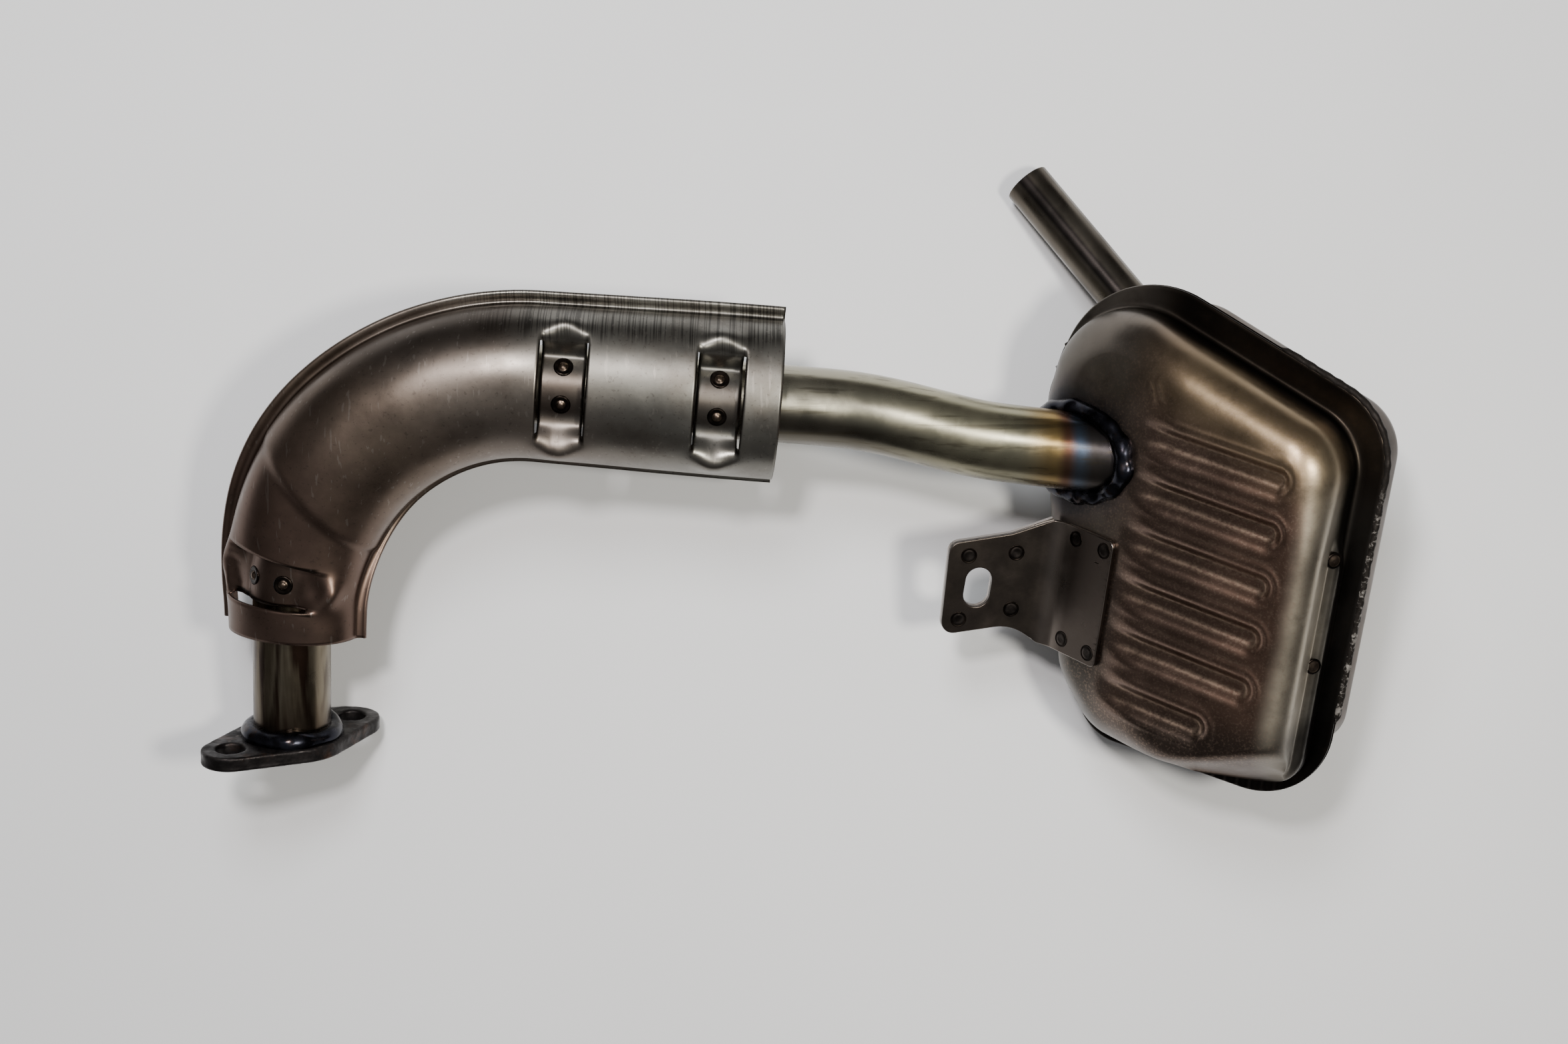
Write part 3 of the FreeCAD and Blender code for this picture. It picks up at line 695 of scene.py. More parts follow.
def eased(points, rounds=2):
    """Corner cutting: turns a few points into a smooth curve."""
    p = np.array(points, float)
    for _ in range(rounds):
        q, r = p[:-1] * 0.75 + p[1:] * 0.25, p[:-1] * 0.25 + p[1:] * 0.75
        p = np.vstack([p[:1], np.column_stack([q, r]).reshape(-1, 2), p[-1:]])
    return p


WINDOW_OUT, WINDOW_IN = 21.0, -17.6
INNER_POINTS, WINDOW_POINTS, OUTER_POINTS = 26, 64, 34
SLIT_POINTS = (INNER_POINTS + 8, INNER_POINTS + WINDOW_POINTS - 8)


def dome_section(s):
    """Section points in three stretches: inner lip, window stretch and outer lip."""
    _, outer, inner, crown = shield_measures(s)
    right, left = outer - 4.4, -(inner - 1.8)
    middle, half = (right + left) / 2, (right - left) / 2
    phi = np.linspace(math.pi - 0.02, 0.02, 160)
    step = 1.25 * (1 - gentle((s - 84.0 - 7.0 * np.cos(phi)) / 4.0))
    dome = np.column_stack([middle + (half - step * 0.6) * np.cos(phi),
                            -1.2 + (crown + 1.5 - step) * np.sin(phi) ** 0.94])
    inside = dome[dome[:, 0] <= WINDOW_IN]
    over = dome[(dome[:, 0] > WINDOW_IN) & (dome[:, 0] < WINDOW_OUT)]
    outside = dome[dome[:, 0] >= WINDOW_OUT]
    lip_in = np.array([(-inner, -1.7), (-inner + 0.9, -1.9), (left - 0.1, -1.3)])
    lip_out = np.array([(right + 0.2, -1.7), (right + 1.2, -2.0), (outer - 1.6, -1.2),
                        (outer - 0.5, -1.1), (outer, -1.7)])
    near = resampled(np.vstack([eased(lip_in, 2), inside]), INNER_POINTS)
    far = resampled(np.vstack([outside, eased(lip_out, 2)]), OUTER_POINTS)
    mid = resampled(np.vstack([near[-1:], over, far[:1]]), WINDOW_POINTS + 2)[1:-1]
    return near, mid, far


def strap_section(s):
    """The window stretch pressed down on to the pipe, with a blister at each end."""
    near, _, far = dome_section(s)

    def on_pipe(angle):
        a = math.radians(angle)
        return (HUG_R * math.sin(a), HUG_R * math.cos(a))

    low, high = STRAP_LEAN - 38, STRAP_LEAN + 38
    arc = [on_pipe(a) for a in np.linspace(low, high, 24)]
    left, right = near[-1], far[0]
    rise = [tuple(left), (left[0] + 1.4, left[1] + 0.9), (left[0] + 3.6, left[1] + 0.6),
            (arc[0][0] - 4.4, arc[0][1] - 0.2), (arc[0][0] - 1.8, arc[0][1] - 0.5)]
    fall = [(arc[-1][0] + 1.6, arc[-1][1] - 0.6), (right[0] - 3.8, right[1] + 0.6),
            (right[0] - 1.6, right[1] + 1.0), tuple(right)]
    return resampled(eased(rise + arc + fall, 3), WINDOW_POINTS + 2)[1:-1]


def strap_stretch(s, dome):
    """The strap's points at s, its ends running smoothly into the dome at its edges."""
    off = min(abs(s - at) for at in STRAP_AT) / (STRAP_W / 2)
    place = np.arange(WINDOW_POINTS)
    to_end = np.minimum(place, place[::-1])
    share = (gentle(1 - to_end / 12.0) * gentle(off))[:, None]
    return strap_section(s) * (1 - share) + dome * share


def blisters(s, section):
    """How far the sheet swells where a strap runs into the dome."""
    swell = np.zeros(len(section))
    for at in STRAP_AT:
        along = math.exp(-((s - at) / 6.0) ** 2)
        for end, size in ((WINDOW_IN - 0.6, 2.2), (WINDOW_OUT + 0.4, 1.9)):
            swell += size * along * np.exp(-((section[:, 0] - end) / 3.0) ** 2)
    return swell * (section[:, 1] > 1.0)


def shield_columns():
    """Stations along the shield, with the edges of each strap's slits on them."""
    edges = [SHIELD_FROM]
    for at in STRAP_AT:
        half = STRAP_W / 2
        edges += [at - half - SLIT, at - half, at + half, at + half + SLIT]
    edges.append(SHIELD_TO)
    stations = [edges[0]]
    for a, b in zip(edges, edges[1:]):
        count = max(1, round((b - a) / 1.0))
        stations += list(np.linspace(a, b, count + 1)[1:])
    return np.array(stations)


def heat_shield():
    """The stamped cover: a dome over the tube, cut at each strap's slits and pressed down."""
    stations = shield_columns()
    rows, in_strap, ups = [], [], []
    for s in stations:
        near, mid, far = dome_section(s)
        pressed = any(abs(s - at) <= STRAP_W / 2 + 1e-6 for at in STRAP_AT)
        if pressed:
            mid = strap_stretch(s, mid)
        in_strap.append(pressed)
        centre, side, up, _ = shield_frame(s)
        section = np.vstack([near, mid, far])
        away = section - np.array([1.5, -1.0])
        away /= np.linalg.norm(away, axis=1)[:, None]
        section = section + away * blisters(s, section)[:, None]
        rows.append(centre + np.outer(section[:, 0], side) + np.outer(section[:, 1], up))
        ups.append(up)

    def cut(i, j):
        return in_strap[i] != in_strap[i + 1] and SLIT_POINTS[0] <= j < SLIT_POINTS[1]

    columns = len(rows[0])
    points = np.vstack(rows)
    swell = wobble(points, 16.0, 3.1) * 0.22
    points = points + np.repeat(ups, columns, axis=0) * swell[:, None]
    faces = [face[::-1] for face in grid_faces(len(stations), columns, skip=cut)]
    piece = add_piece("heat_shield_sheet", points, faces, SHIELD_SHEET, BENCH, "heat_shield")
    solidify(piece, SHIELD_T)
    return baked(piece)


BUTTON_AROUND = 40


def buttons(name, spots, profile, material, place, node):
    """Pressed weld marks, a profile turned about each spot's normal, dark round the rim."""
    around, rows = BUTTON_AROUND, len(profile) - 1
    points, faces = [], []
    for centre, normal in spots:
        x = unit(np.cross(normal, [0.3, 0.9, 0.1]))
        y = np.cross(normal, x)
        base = len(points)
        for r, h in profile[1:]:
            points += [centre + spun(x, y, a) * r + normal * h for a in turns(around)]
        faces += [tuple(base + i for i in f) for f in grid_faces(rows, around, wrap=True)]
        points += [centre + normal * profile[0][1], centre + normal * profile[-1][1]]
        floor_at = len(points) - 1
        last = base + (rows - 1) * around
        faces += [(floor_at - 1, base + (k + 1) % around, base + k) for k in range(around)]
        faces += [(floor_at, last + k, last + (k + 1) % around) for k in range(around)]
    piece = add_piece(name, points, faces, material, place, node)
    piece.data.materials.append(BURNT_RING)
    rim_rings = (rows - 1) * around
    for face in piece.data.polygons:
        face.material_index = int(2 * around <= face.index % (rim_rings + 2 * around) < rim_rings)
    faces_outward(piece.data)
    return piece


def shield_spot_welds():
    """Two pressed welds on each strap, either side of its middle."""
    spots = []
    for s in STRAP_AT:
        centre, side, up, _ = shield_frame(s)
        for lean in (-26.0, 26.0):
            a = math.radians(STRAP_LEAN + lean)
            out = side * math.sin(a) + up * math.cos(a)
            spots.append((centre + out * HUG_R, out))
    profile = [(0.0, 0.95), (0.6, 0.88), (1.1, 0.6), (1.5, 0.22), (1.9, 0.12), (2.4, 0.3),
               (2.8, 0.22), (3.1, 0.03), (3.12, -0.3)]
    return buttons("shield_spot_marks", spots, profile, SHIELD_SPOT, BENCH,
                   "shield_spot_welds")


# ------------------------------------------------------------ muffler shells

def plane_height(u, v, point, normal):
    """Height of a plane over (u, v)."""
    return point[2] - (normal[0] * (u - point[0]) + normal[1] * (v - point[1])) / normal[2]


def front_top(u, v):
    """The front's outer height over (u, v), its facets blended together."""
    a = math.radians(27.0)
    lean = (-math.sin(FACET_LEAN), 0, math.cos(FACET_LEAN))
    low = (-math.sin(a) * 0.63, -math.sin(a) * 0.777, math.cos(a))
    left, right, foot = (np.array(p) for p in ((-9, -74.5, FACE_UP), (33, -57, FACE_UP),
                                               (33, -75.5, 2.0)))
    slope = np.cross(left - right, foot - right)
    h = plane_height(u, v, (FACET_FROM, 0, FACE_UP), lean)
    h = smooth_min(h, np.full_like(h, FACE_UP), 1.6)
    h = smooth_min(h, plane_height(u, v, (-20.0, -61.5, FACE_UP), low), 2.5)
    return smooth_min(h, plane_height(u, v, right, slope), 3.0)


def back_depth(u, v):
    """How far the back lies behind the seam over (u, v): flat, but for the bench."""
    bench = (SEAM_AT[2] + U[2] * u + V[2] * v) / N[2]
    return smooth_min(np.full_like(u, BACK_DOWN), bench, 2.0)


def rib_distance(u, v, left, right, at):
    """Distance from the centre line of a rib that leans 4 degrees."""
    near = np.clip(u, left, right)
    return np.hypot(u - near, v - (at + (right - near) * math.tan(math.radians(4.0))))


def rib_profile(distance, half, depth):
    """A round-bottomed channel with a slight shoulder at its lips."""
    x = distance / half
    channel = depth * (1 - gentle((x - 0.25) / 0.75))
    shoulder = 0.28 * np.exp(-((x - 1.22) / 0.16) ** 2)
    return channel - shoulder


RIB_PITCH = 16.75


def front_ribs(u, v):
    """How deep the front's six ribs are pressed in, fading out at their left ends."""
    sunk = np.zeros_like(u)
    for i in range(6):
        right = 16.5 if i < 5 else 4.0
        d = rib_distance(u, v, -29.0, right, 26.0 - RIB_PITCH * i)
        sunk += rib_profile(d, 5.4, 2.6) * gentle((u + 33.0) / 14.0)
    return sunk


def back_ribs(u, v):
    """How deep the back's four ribs are pressed in."""
    sunk = np.zeros_like(u)
    for i in range(4):
        d = rib_distance(u, v, -16.0, 15.0, 17.0 - RIB_PITCH * i)
        sunk = np.maximum(sunk, rib_profile(d, 5.0, 2.0))
    return sunk


CORNERS = [(-55.0, 62.0), (25.0, 36.0), (28.0, -70.0), (-40.0, -68.0)]
SIDES = (120, 160, 120, 160)


def patch(edge):
    """The inside of a closed four-sided outline, as a grid of blended points."""
    n, m = SIDES[0], SIDES[1]
    top, right = edge[:n + 1], edge[n:n + m + 1]
    bottom = edge[n + m:2 * n + m + 1][::-1]
    left = np.vstack([edge[2 * n + m:], edge[:1]])[::-1]
    a = np.linspace(0, 1, n + 1)[None, :, None]
    b = np.linspace(0, 1, m + 1)[:, None, None]
    sides = (1 - b) * top[None] + b * bottom[None] + (1 - a) * left[:, None] + a * right[:, None]
    corners = ((1 - a) * (1 - b) * top[0] + a * (1 - b) * top[-1]
               + (1 - a) * b * bottom[0] + a * b * bottom[-1])
    return sides - corners


SHELL_MIDDLE = np.array([-14.0, -4.0])
ROOT_R = 1.8


def stamped_shell(loop, radii, way, top, ribs):
    """Rings from the rim's edge, over the wall and its rolled edge, then a gridded face."""
    outline = by_sides(rounded(loop, radii), CORNERS, SIDES)
    out = outward(outline)
    d = outline - SHELL_MIDDLE
    far = reach(rounded(RIM_LOOP, RIM_RADII), SHELL_MIDDLE, np.arctan2(d[:, 1], d[:, 0]))
    ray = d / np.linalg.norm(d, axis=1)[:, None]
    edge = SHELL_MIDDLE + ray * far[:, None]
    brim = edge - ray * 0.5
    flat = np.full(len(outline), SHEET)
    rings = [(edge, flat - 0.5), (edge - ray * 0.12, flat - 0.2), (brim, flat)]
    for t in np.linspace(0.12, 1.0, 6):
        rings.append((brim * (1 - t) + (outline + out * ROOT_R) * t, flat))
    for a in np.linspace(0, math.pi / 2, 6)[1:]:
        rings.append((outline + out * (ROOT_R * (1 - math.sin(a))),
                      flat + ROOT_R * (1 - math.cos(a))))
    round_r = EDGE_R + (4.0 * gentle(outline[:, 1] / 30.0) if way > 0 else 0.0)
    inwards = np.reshape(round_r, (-1, 1))
    inset = outline - out * inwards
    roof = np.minimum(top(*inset.T), top(*outline.T) + round_r)
    roll = np.clip((roof - SHEET - ROOT_R) * 0.8, 1.0, round_r)
    low, shoulder = flat + ROOT_R, np.maximum(roof - roll, flat + ROOT_R + 0.3)
    for t in np.linspace(0, 1, 12)[1:]:
        rings.append((outline, low * (1 - t) + shoulder * t))
    for a in np.linspace(0, math.pi / 2, 14)[1:]:
        rolled = outline - out * (inwards * (1 - math.cos(a)))
        level = shoulder + (top(*rolled.T) - shoulder) * math.sin(a)
        rings.append((rolled, np.where(level > shoulder, level, shoulder + 0.05 * math.sin(a))))
    inner = patch(inset)
    base = len(outline) * len(rings)
    faces = grid_faces(len(rings), len(outline), wrap=True)
    faces += [tuple(base + i for i in f) for f in grid_faces(*inner.shape[:2])]
    inner = inner.reshape(-1, 2)
    rings.append((inner, top(*inner.T)))
    points = np.vstack([np.column_stack([place, way * height]) for place, height in rings])
    points[:, 2] -= way * ribs(points[:, 0], points[:, 1]) * (np.abs(points[:, 2]) > SHEET + 4)
    return points, faces


def ledge(points):
    """A step low on the right wall, and wrinkles drawn into the lower right corner."""
    u, v, d = points.T
    right = gentle((u - 22.0) / 8.0) * gentle((12.0 - v) / 14.0) * gentle((d - 2.5) / 2.0)
    step = right * gentle((11.5 - d) / 3.0) * 2.4
    points[:, 0] += step
    corner = np.exp(-(((u - 10) / 24.0) ** 2 + ((v + 78) / 7.0) ** 2)) * gentle((9.0 - d) / 3.0)
    points[:, 2] += corner * 0.3 * np.sin(u * 1.5) * gentle((d - 0.9) / 0.3)
    return points


def worked(points, amount, seed):
    """The slight unevenness of pressed sheet, none of it at the seam."""
    free = gentle((np.abs(points[:, 2]) - SHEET) / 4.0)
    points[:, 2] += wobble(points, 22.0, seed) * amount * free
    return points


def shell_piece(name, points, faces, node, hole):
    """A shell of sheet, with a hole for its tube."""
    piece = add_piece(name, points, faces, MUFFLER_SHEET, MUFFLER, node)
    weld_face_on(piece.data)
    solidify(piece, SHEET)
    cutter = hole_cutter(*hole)
    cut = piece.modifiers.new("hole", "BOOLEAN")
    cut.operation, cut.solver, cut.object = "DIFFERENCE", "EXACT", cutter
    baked(piece)
    bpy.data.objects.remove(cutter)
    return recoated(piece, MUFFLER_SHEET)


def weld_face_on(sheet):
    """Joins the gridded face to the last ring and turns the sheet's outside out."""
    seam, way = Vector(in_frame(SEAM_AT)), Vector(N)

    def height(face):
        return (face.calc_center_median() - seam) @ way

    with edited(sheet) as opened:
        bmesh.ops.remove_doubles(opened, verts=opened.verts, dist=0.01 * MM)
        bmesh.ops.recalc_face_normals(opened, faces=opened.faces)
        top = max(opened.faces, key=lambda face: abs(height(face)))
        if (top.normal @ way) * height(top) < 0:
            bmesh.ops.reverse_faces(opened, faces=opened.faces)
    smooth_all(sheet)


def hole_cutter(start, way, radius, length):
    """A round bar used to cut a shell, in the muffler's axes."""
    around = 96
    points = []
    for end in (0.0, length):
        points += [start + way * end + spoke * radius for spoke in spokes(way, turns(around))]
    faces = grid_faces(2, around, wrap=True)
    faces += [tuple(range(around)), tuple(range(2 * around - 1, around - 1, -1))]
    cutter = linked("cutter", mesh_of("cutter", points, faces))
    cutter.matrix_world = MUFFLER
    faces_outward(cutter.data)
    return cutter


def dents(points):
    """Two short dents side by side, high on the front."""
    u, v, d = points.T
    for at in (-1.5, 1.5):
        along, across = (u + 27.0) * 0.45 + (v - 43.0) * -0.9, (u + 27.0) * 0.9 + (v - 43.0) * 0.45
        sunk = np.exp(-((along / 3.6) ** 4) - ((across - at) / 0.8) ** 2)
        points[:, 2] -= 0.4 * sunk * (d > 8.0)
    return points


def front_shell():
    points, faces = stamped_shell(FRONT_LOOP, FRONT_RADII, 1, front_top, front_ribs)
    points = worked(dents(ledge(points)), 0.16, 5.0)
    return shell_piece("front_shell_sheet", points, faces, "front_shell",
                       (INLET_FROM + INLET_WAY * 4, INLET_WAY, TUBE_R, 100.0))


def rear_shell():
    points, faces = stamped_shell(BACK_LOOP, BACK_RADII, -1, back_depth, back_ribs)
    points = worked(points, 0.16, 9.0)
    heights = (points @ AXES)[:, 2] + SEAM_AT[2]
    points -= np.outer(np.minimum(heights - 0.02, 0.0), AXES[:, 2])
    return shell_piece("rear_shell_sheet", points, faces, "rear_shell",
                       (TAIL_AT, TAIL_WAY, TAIL_R, TAIL_LONG))


# --------------------------------------------------------------------- welds

def bead(name, path, radii, material, place, node, laid, closed=True):
    """A lumpy bead swept along a path; laid is its seed, lump, ripple and grain size."""
    seed, lump, ripple, grain_size = laid
    seed = Vector((seed, -seed, seed * 0.7))
    path = np.array(path, float)
    count, around = len(path), 20
    tangent = np.gradient(path, axis=0)
    if closed:
        tangent = np.roll(path, -1, axis=0) - np.roll(path, 1, axis=0)
    middle, run = path.mean(axis=0), run_of(path)
    points = []
    for i in range(count):
        t = unit(tangent[i])
        x = unit(np.cross(t, np.cross(path[i] - middle, t)))
        y = np.cross(t, x)
        wave = 1 + lump * 0.6 * math.sin(2 * math.pi * run[i] / ripple)
        ends = 1.0 if closed else float(gentle(min(i, count - 1 - i) / 6.0)) * 0.85 + 0.15
        for a in turns(around):
            way = spun(x, y, a)
            grain = noise.noise(Vector((path[i] + way * 3) / grain_size + seed))
            points.append(path[i] + way * (radii[i] * ends * (wave + lump * 1.6 * grain)))
    faces = grid_faces(count, around, wrap=True)
    last = (count - 1) * around
    if closed:
        faces += [(last + k, last + (k + 1) % around, (k + 1) % around, k) for k in range(around)]
    else:
        faces += [tuple(range(around)), tuple(range(last + around - 1, last - 1, -1))]
    piece = add_piece(name, points, faces, material, place, node)
    faces_outward(piece.data)
    return piece


def flange_weld():
    """Fillet round the header tube on the flange, thicker in places."""
    line, across = flange_axes()
    foot = ROUTE[0] + HEAD * (FLANGE_T + 0.6)
    path, radii = [], []
    for a in np.linspace(0, 2 * math.pi, 240, endpoint=False):
        path.append(foot + spun(line, across, a) * (TUBE_R + 0.9)
                    + HEAD * 0.35 * math.sin(3 * a + 1))
        radii.append(3.5 + 0.5 * math.sin(2 * a + 0.6) + 0.3 * math.sin(5 * a))
    return bead("flange_weld_bead", path, radii, HEADER_WELD, BENCH, "flange_weld",
                (1.7, 0.045, 13.0, 5.5))


def surface_ring(start, way, radius, inside, steps=200):
    """Where a tube meets a shell: a point for each angle round the tube."""
    onwards = np.outer(np.linspace(0, 110, 1101), way)
    path = []
    for spoke in spokes(way, np.linspace(0, 2 * math.pi, steps, endpoint=False)):
        ray = start + spoke * radius + onwards
        path.append(ray[np.argmax(inside(ray))])
    path = np.array(path)
    for _ in range(6):
        path = (np.roll(path, 1, axis=0) + path * 2 + np.roll(path, -1, axis=0)) / 4
    return path


def inside_shell(points, loop, radii, top, side):
    """Which points lie inside a shell; side is 1 in front of the seam and -1 behind it."""
    u, v, d = points.T
    depth, full = side * d, top(u, v)
    inset = np.clip(EDGE_R - (full - depth), 0, None) ** 2 / (2.2 * EDGE_R)
    x, y = (points[:, :2] - SHELL_MIDDLE).T
    edge = reach(rounded(loop, radii), SHELL_MIDDLE, np.arctan2(y, x))
    return (depth > 0) & (depth < full) & (np.hypot(x, y) < edge - inset)


def in_front(points):
    return inside_shell(points, FRONT_LOOP, FRONT_RADII, front_top, 1)


def in_back(points):
    return inside_shell(points, BACK_LOOP, BACK_RADII, back_depth, -1)


def inlet_weld():
    path = surface_ring(INLET_FROM, INLET_WAY, TUBE_R + 1.0, in_front)
    radii = [3.2 + 0.4 * math.sin(2 * math.pi * i / 67) for i in range(len(path))]
    return bead("inlet_weld_bead", path, radii, HEADER_WELD, MUFFLER, "inlet_weld",
                (4.2, 0.1, 8.0, 4.0))


def tail_pipe_weld():
    path = surface_ring(TAIL_AT, TAIL_WAY, TAIL_R + 0.6, in_back)
    return bead("tail_weld_bead", path, [1.9] * len(path), HEADER_WELD, MUFFLER,
                "tail_pipe_weld", (8.4, 0.12, 3.5, 2.6))


def seam_weld():
    """Bead on the seam's edge, from the top, round the right side, to near the foot."""
    edge = evenly(rounded(RIM_LOOP, RIM_RADII, 60), 900)
    edge = edge + outward(edge) * 0.1
    edge = edge[(edge[:, 0] > 0.0) & (edge[:, 1] > -52.0)]
    d = edge - SHELL_MIDDLE
    edge = edge[np.argsort(-np.arctan2(d[:, 1], d[:, 0]))]
    path = np.column_stack([edge, np.zeros(len(edge))])
    return bead("seam_weld_bead", path, [1.2] * len(path), SEAM_BEAD, MUFFLER, "seam_weld",
                (6.3, 0.09, 5.0, 2.2), closed=False)


# -------------------------------------------------------------------- flange

def flange_axes():
    """Along the line of the bolts, and across it."""
    level = -unit(np.cross([0, 0, 1.0], HEAD))
    line = turned(level, HEAD, math.radians(FLANGE_TURN))
    return line, unit(np.cross(HEAD, line))


def flat_plate(name, outline, holes, thickness, edge):
    """A rounded-edge plate from an outline and holes, as a mesh in mm from z = 0 up."""
    curve = bpy.data.curves.new(name, "CURVE")
    curve.dimensions, curve.fill_mode = "2D", "BOTH"
    curve.extrude, curve.bevel_depth = thickness / 2 - edge, edge
    curve.bevel_resolution, curve.offset = 3, -edge
    for loop in [outline, *holes]:
        spline = curve.splines.new("POLY")
        spline.points.add(len(loop) - 1)
        for point, (x, y) in zip(spline.points, loop):
            point.co = (x, y, 0, 1)
        spline.use_cyclic_u = True
    carrier = linked(name, curve)
    mesh = evaluated_mesh(carrier)
    bpy.data.objects.remove(carrier)
    mesh.transform(Matrix.Translation((0, 0, thickness / 2)))
    with edited(mesh) as opened:
        bmesh.ops.remove_doubles(opened, verts=opened.verts, dist=0.002)
        bmesh.ops.recalc_face_normals(opened, faces=opened.faces)
    return mesh


def circle(x, y, radius, count=64):
    return [(x + radius * math.cos(a), y + radius * math.sin(a))
            for a in np.linspace(0, 2 * math.pi, count, endpoint=False)]


def flange_outline():
    """Two bolt eyes joined by tangents to a round middle."""
    lean = math.asin((FLANGE_MID_R - FLANGE_END_R) / BOLT_HALF)
    points = []
    for cx, radius, start, end in (
            (BOLT_HALF, FLANGE_END_R, -math.pi / 2 + lean, math.pi / 2 - lean),
            (0.0, FLANGE_MID_R, math.pi / 2 - lean, math.pi / 2 + lean),
            (-BOLT_HALF, FLANGE_END_R, math.pi / 2 + lean, 3 * math.pi / 2 - lean),
            (0.0, FLANGE_MID_R, 3 * math.pi / 2 - lean, 3 * math.pi / 2 + lean)):
        points += [(cx + radius * math.cos(a), radius * math.sin(a))
                   for a in np.linspace(start, end, 28)]
    return points


def header_flange():
    """Thick plate with worn, rounded edges and a hammered skin of scale."""
    line, across = flange_axes()
    holes = [circle(BOLT_HALF, 0, BOLT_HOLE_R), circle(-BOLT_HALF, 0, BOLT_HOLE_R),
             circle(0, 0, TUBE_R)]
    mesh = flat_plate("header_flange_plate", flange_outline(), holes, FLANGE_T, 0.9)
    mesh.transform(Matrix.Scale(MM, 4))
    piece = adopt("header_flange_plate", mesh, FLANGE_STEEL,
                  placing(ROUTE[0], line, across, HEAD), "header_flange")
    remesh = piece.modifiers.new("skin", "REMESH")
    remesh.mode, remesh.voxel_size = "VOXEL", 0.42 * MM
    verts = baked(piece).data.vertices
    points = np.array([v.co[:] for v in verts]) / MM
    normals = np.array([v.normal[:] for v in verts])
    dent = wobble(points, 3.2, 2.0) * 0.10 + wobble(points, 1.3, 7.0) * 0.045 - 0.13
    free = gentle(((points - ROUTE[0] - SHIFT) @ HEAD - 0.4) / 1.2)
    points += normals * (dent * free)[:, None]
    verts.foreach_set("co", (points * MM).ravel())
    return recoated(piece, FLANGE_STEEL)


# ------------------------------------------------------------------- bracket

FOOT_Y = np.array([0, 1.0, 0])
FOOT_N = np.array([-math.sin(FACET_LEAN), 0, math.cos(FACET_LEAN)])
FOOT_X = np.cross(FOOT_Y, FOOT_N)
TAB_X = unit(AXES @ np.array([0.983, 0.155, -0.1]))
TAB_N = unit(np.cross(TAB_X, FOOT_Y))
TAB_Y = np.cross(TAB_N, TAB_X)
TAB_OUT = np.cross(FOOT_Y, TAB_N)


def on_facet(x, y, h=0.0):
    return np.array([FACET_FROM, 0, FACE_UP]) + FOOT_X * x + FOOT_Y * y + FOOT_N * h


BEND_AT = on_facet(FOOT[0], -28.0, PLATE_T)
FOLD_R = 8.0
FOLD_HALF = FOLD_R * math.tan(math.acos(TAB_N @ FOOT_N) / 2)


def tab_flat(x, y):
    """A tab point in the flat pattern: out from the fold, and along it."""
    p = TAB_X * x + TAB_Y * y
    return float(p @ TAB_OUT), float(p @ FOOT_Y)


def folded(points):
    """Flat pattern points (out from the fold, along it, up) bent into place."""
    angle = math.acos(TAB_N @ FOOT_N)
    centre = unit(TAB_N + FOOT_N) * (FOLD_R / math.cos(angle / 2))
    result = []
    for p, q, h in points:
        h -= PLATE_T
        if p <= -FOLD_HALF:
            place = TAB_OUT * p + TAB_N * h
        elif p >= FOLD_HALF:
            place = FOOT_X * p + FOOT_N * h
        else:
            turn = (p / FOLD_HALF + 1) / 2 * angle
            normal = unit(TAB_N * math.sin(angle - turn) + FOOT_N * math.sin(turn))
            place = centre + normal * (h - FOLD_R)
        result.append(BEND_AT + place + FOOT_Y * q)
    return result


def bracket_outline():
    """Tab and foot in one flat pattern, and the slot through the tab."""
    tab = [tab_flat(x, y) for x, y in TAB_LOOP]
    width = FOOT[1] - FOOT[0]
    low, high = FOOT[2] + 28.0, FOOT[3] + 28.0
    loop = [tab[0], tab[1], tab[2], (-1.5, low + 0.2), (1.5, low), (width, low), (width, high),
            (1.5, high), (-1.5, high - 0.2), tab[5]]
    radii = [4.0, 4.0, 14.0, 1.0, 1.0, 2.0, 2.0, 1.0, 1.0, 14.0]
    ends = []
    for way in (-1, 1):
        ends.append(tab_flat(SLOT_AT[0] + math.sin(SLOT_LEAN) * SLOT_HALF * way,
                             SLOT_AT[1] + math.cos(SLOT_LEAN) * SLOT_HALF * way))
    (x0, y0), (x1, y1) = ends
    tilt = math.atan2(y1 - y0, x1 - x0)
    slot = [(x1 + SLOT_R * math.cos(a), y1 + SLOT_R * math.sin(a))
            for a in np.linspace(tilt - math.pi / 2, tilt + math.pi / 2, 28)]
    slot += [(x0 + SLOT_R * math.cos(a), y0 + SLOT_R * math.sin(a))
             for a in np.linspace(tilt + math.pi / 2, tilt + 3 * math.pi / 2, 28)]
    return evenly(rounded(loop, radii, 14), 420), slot


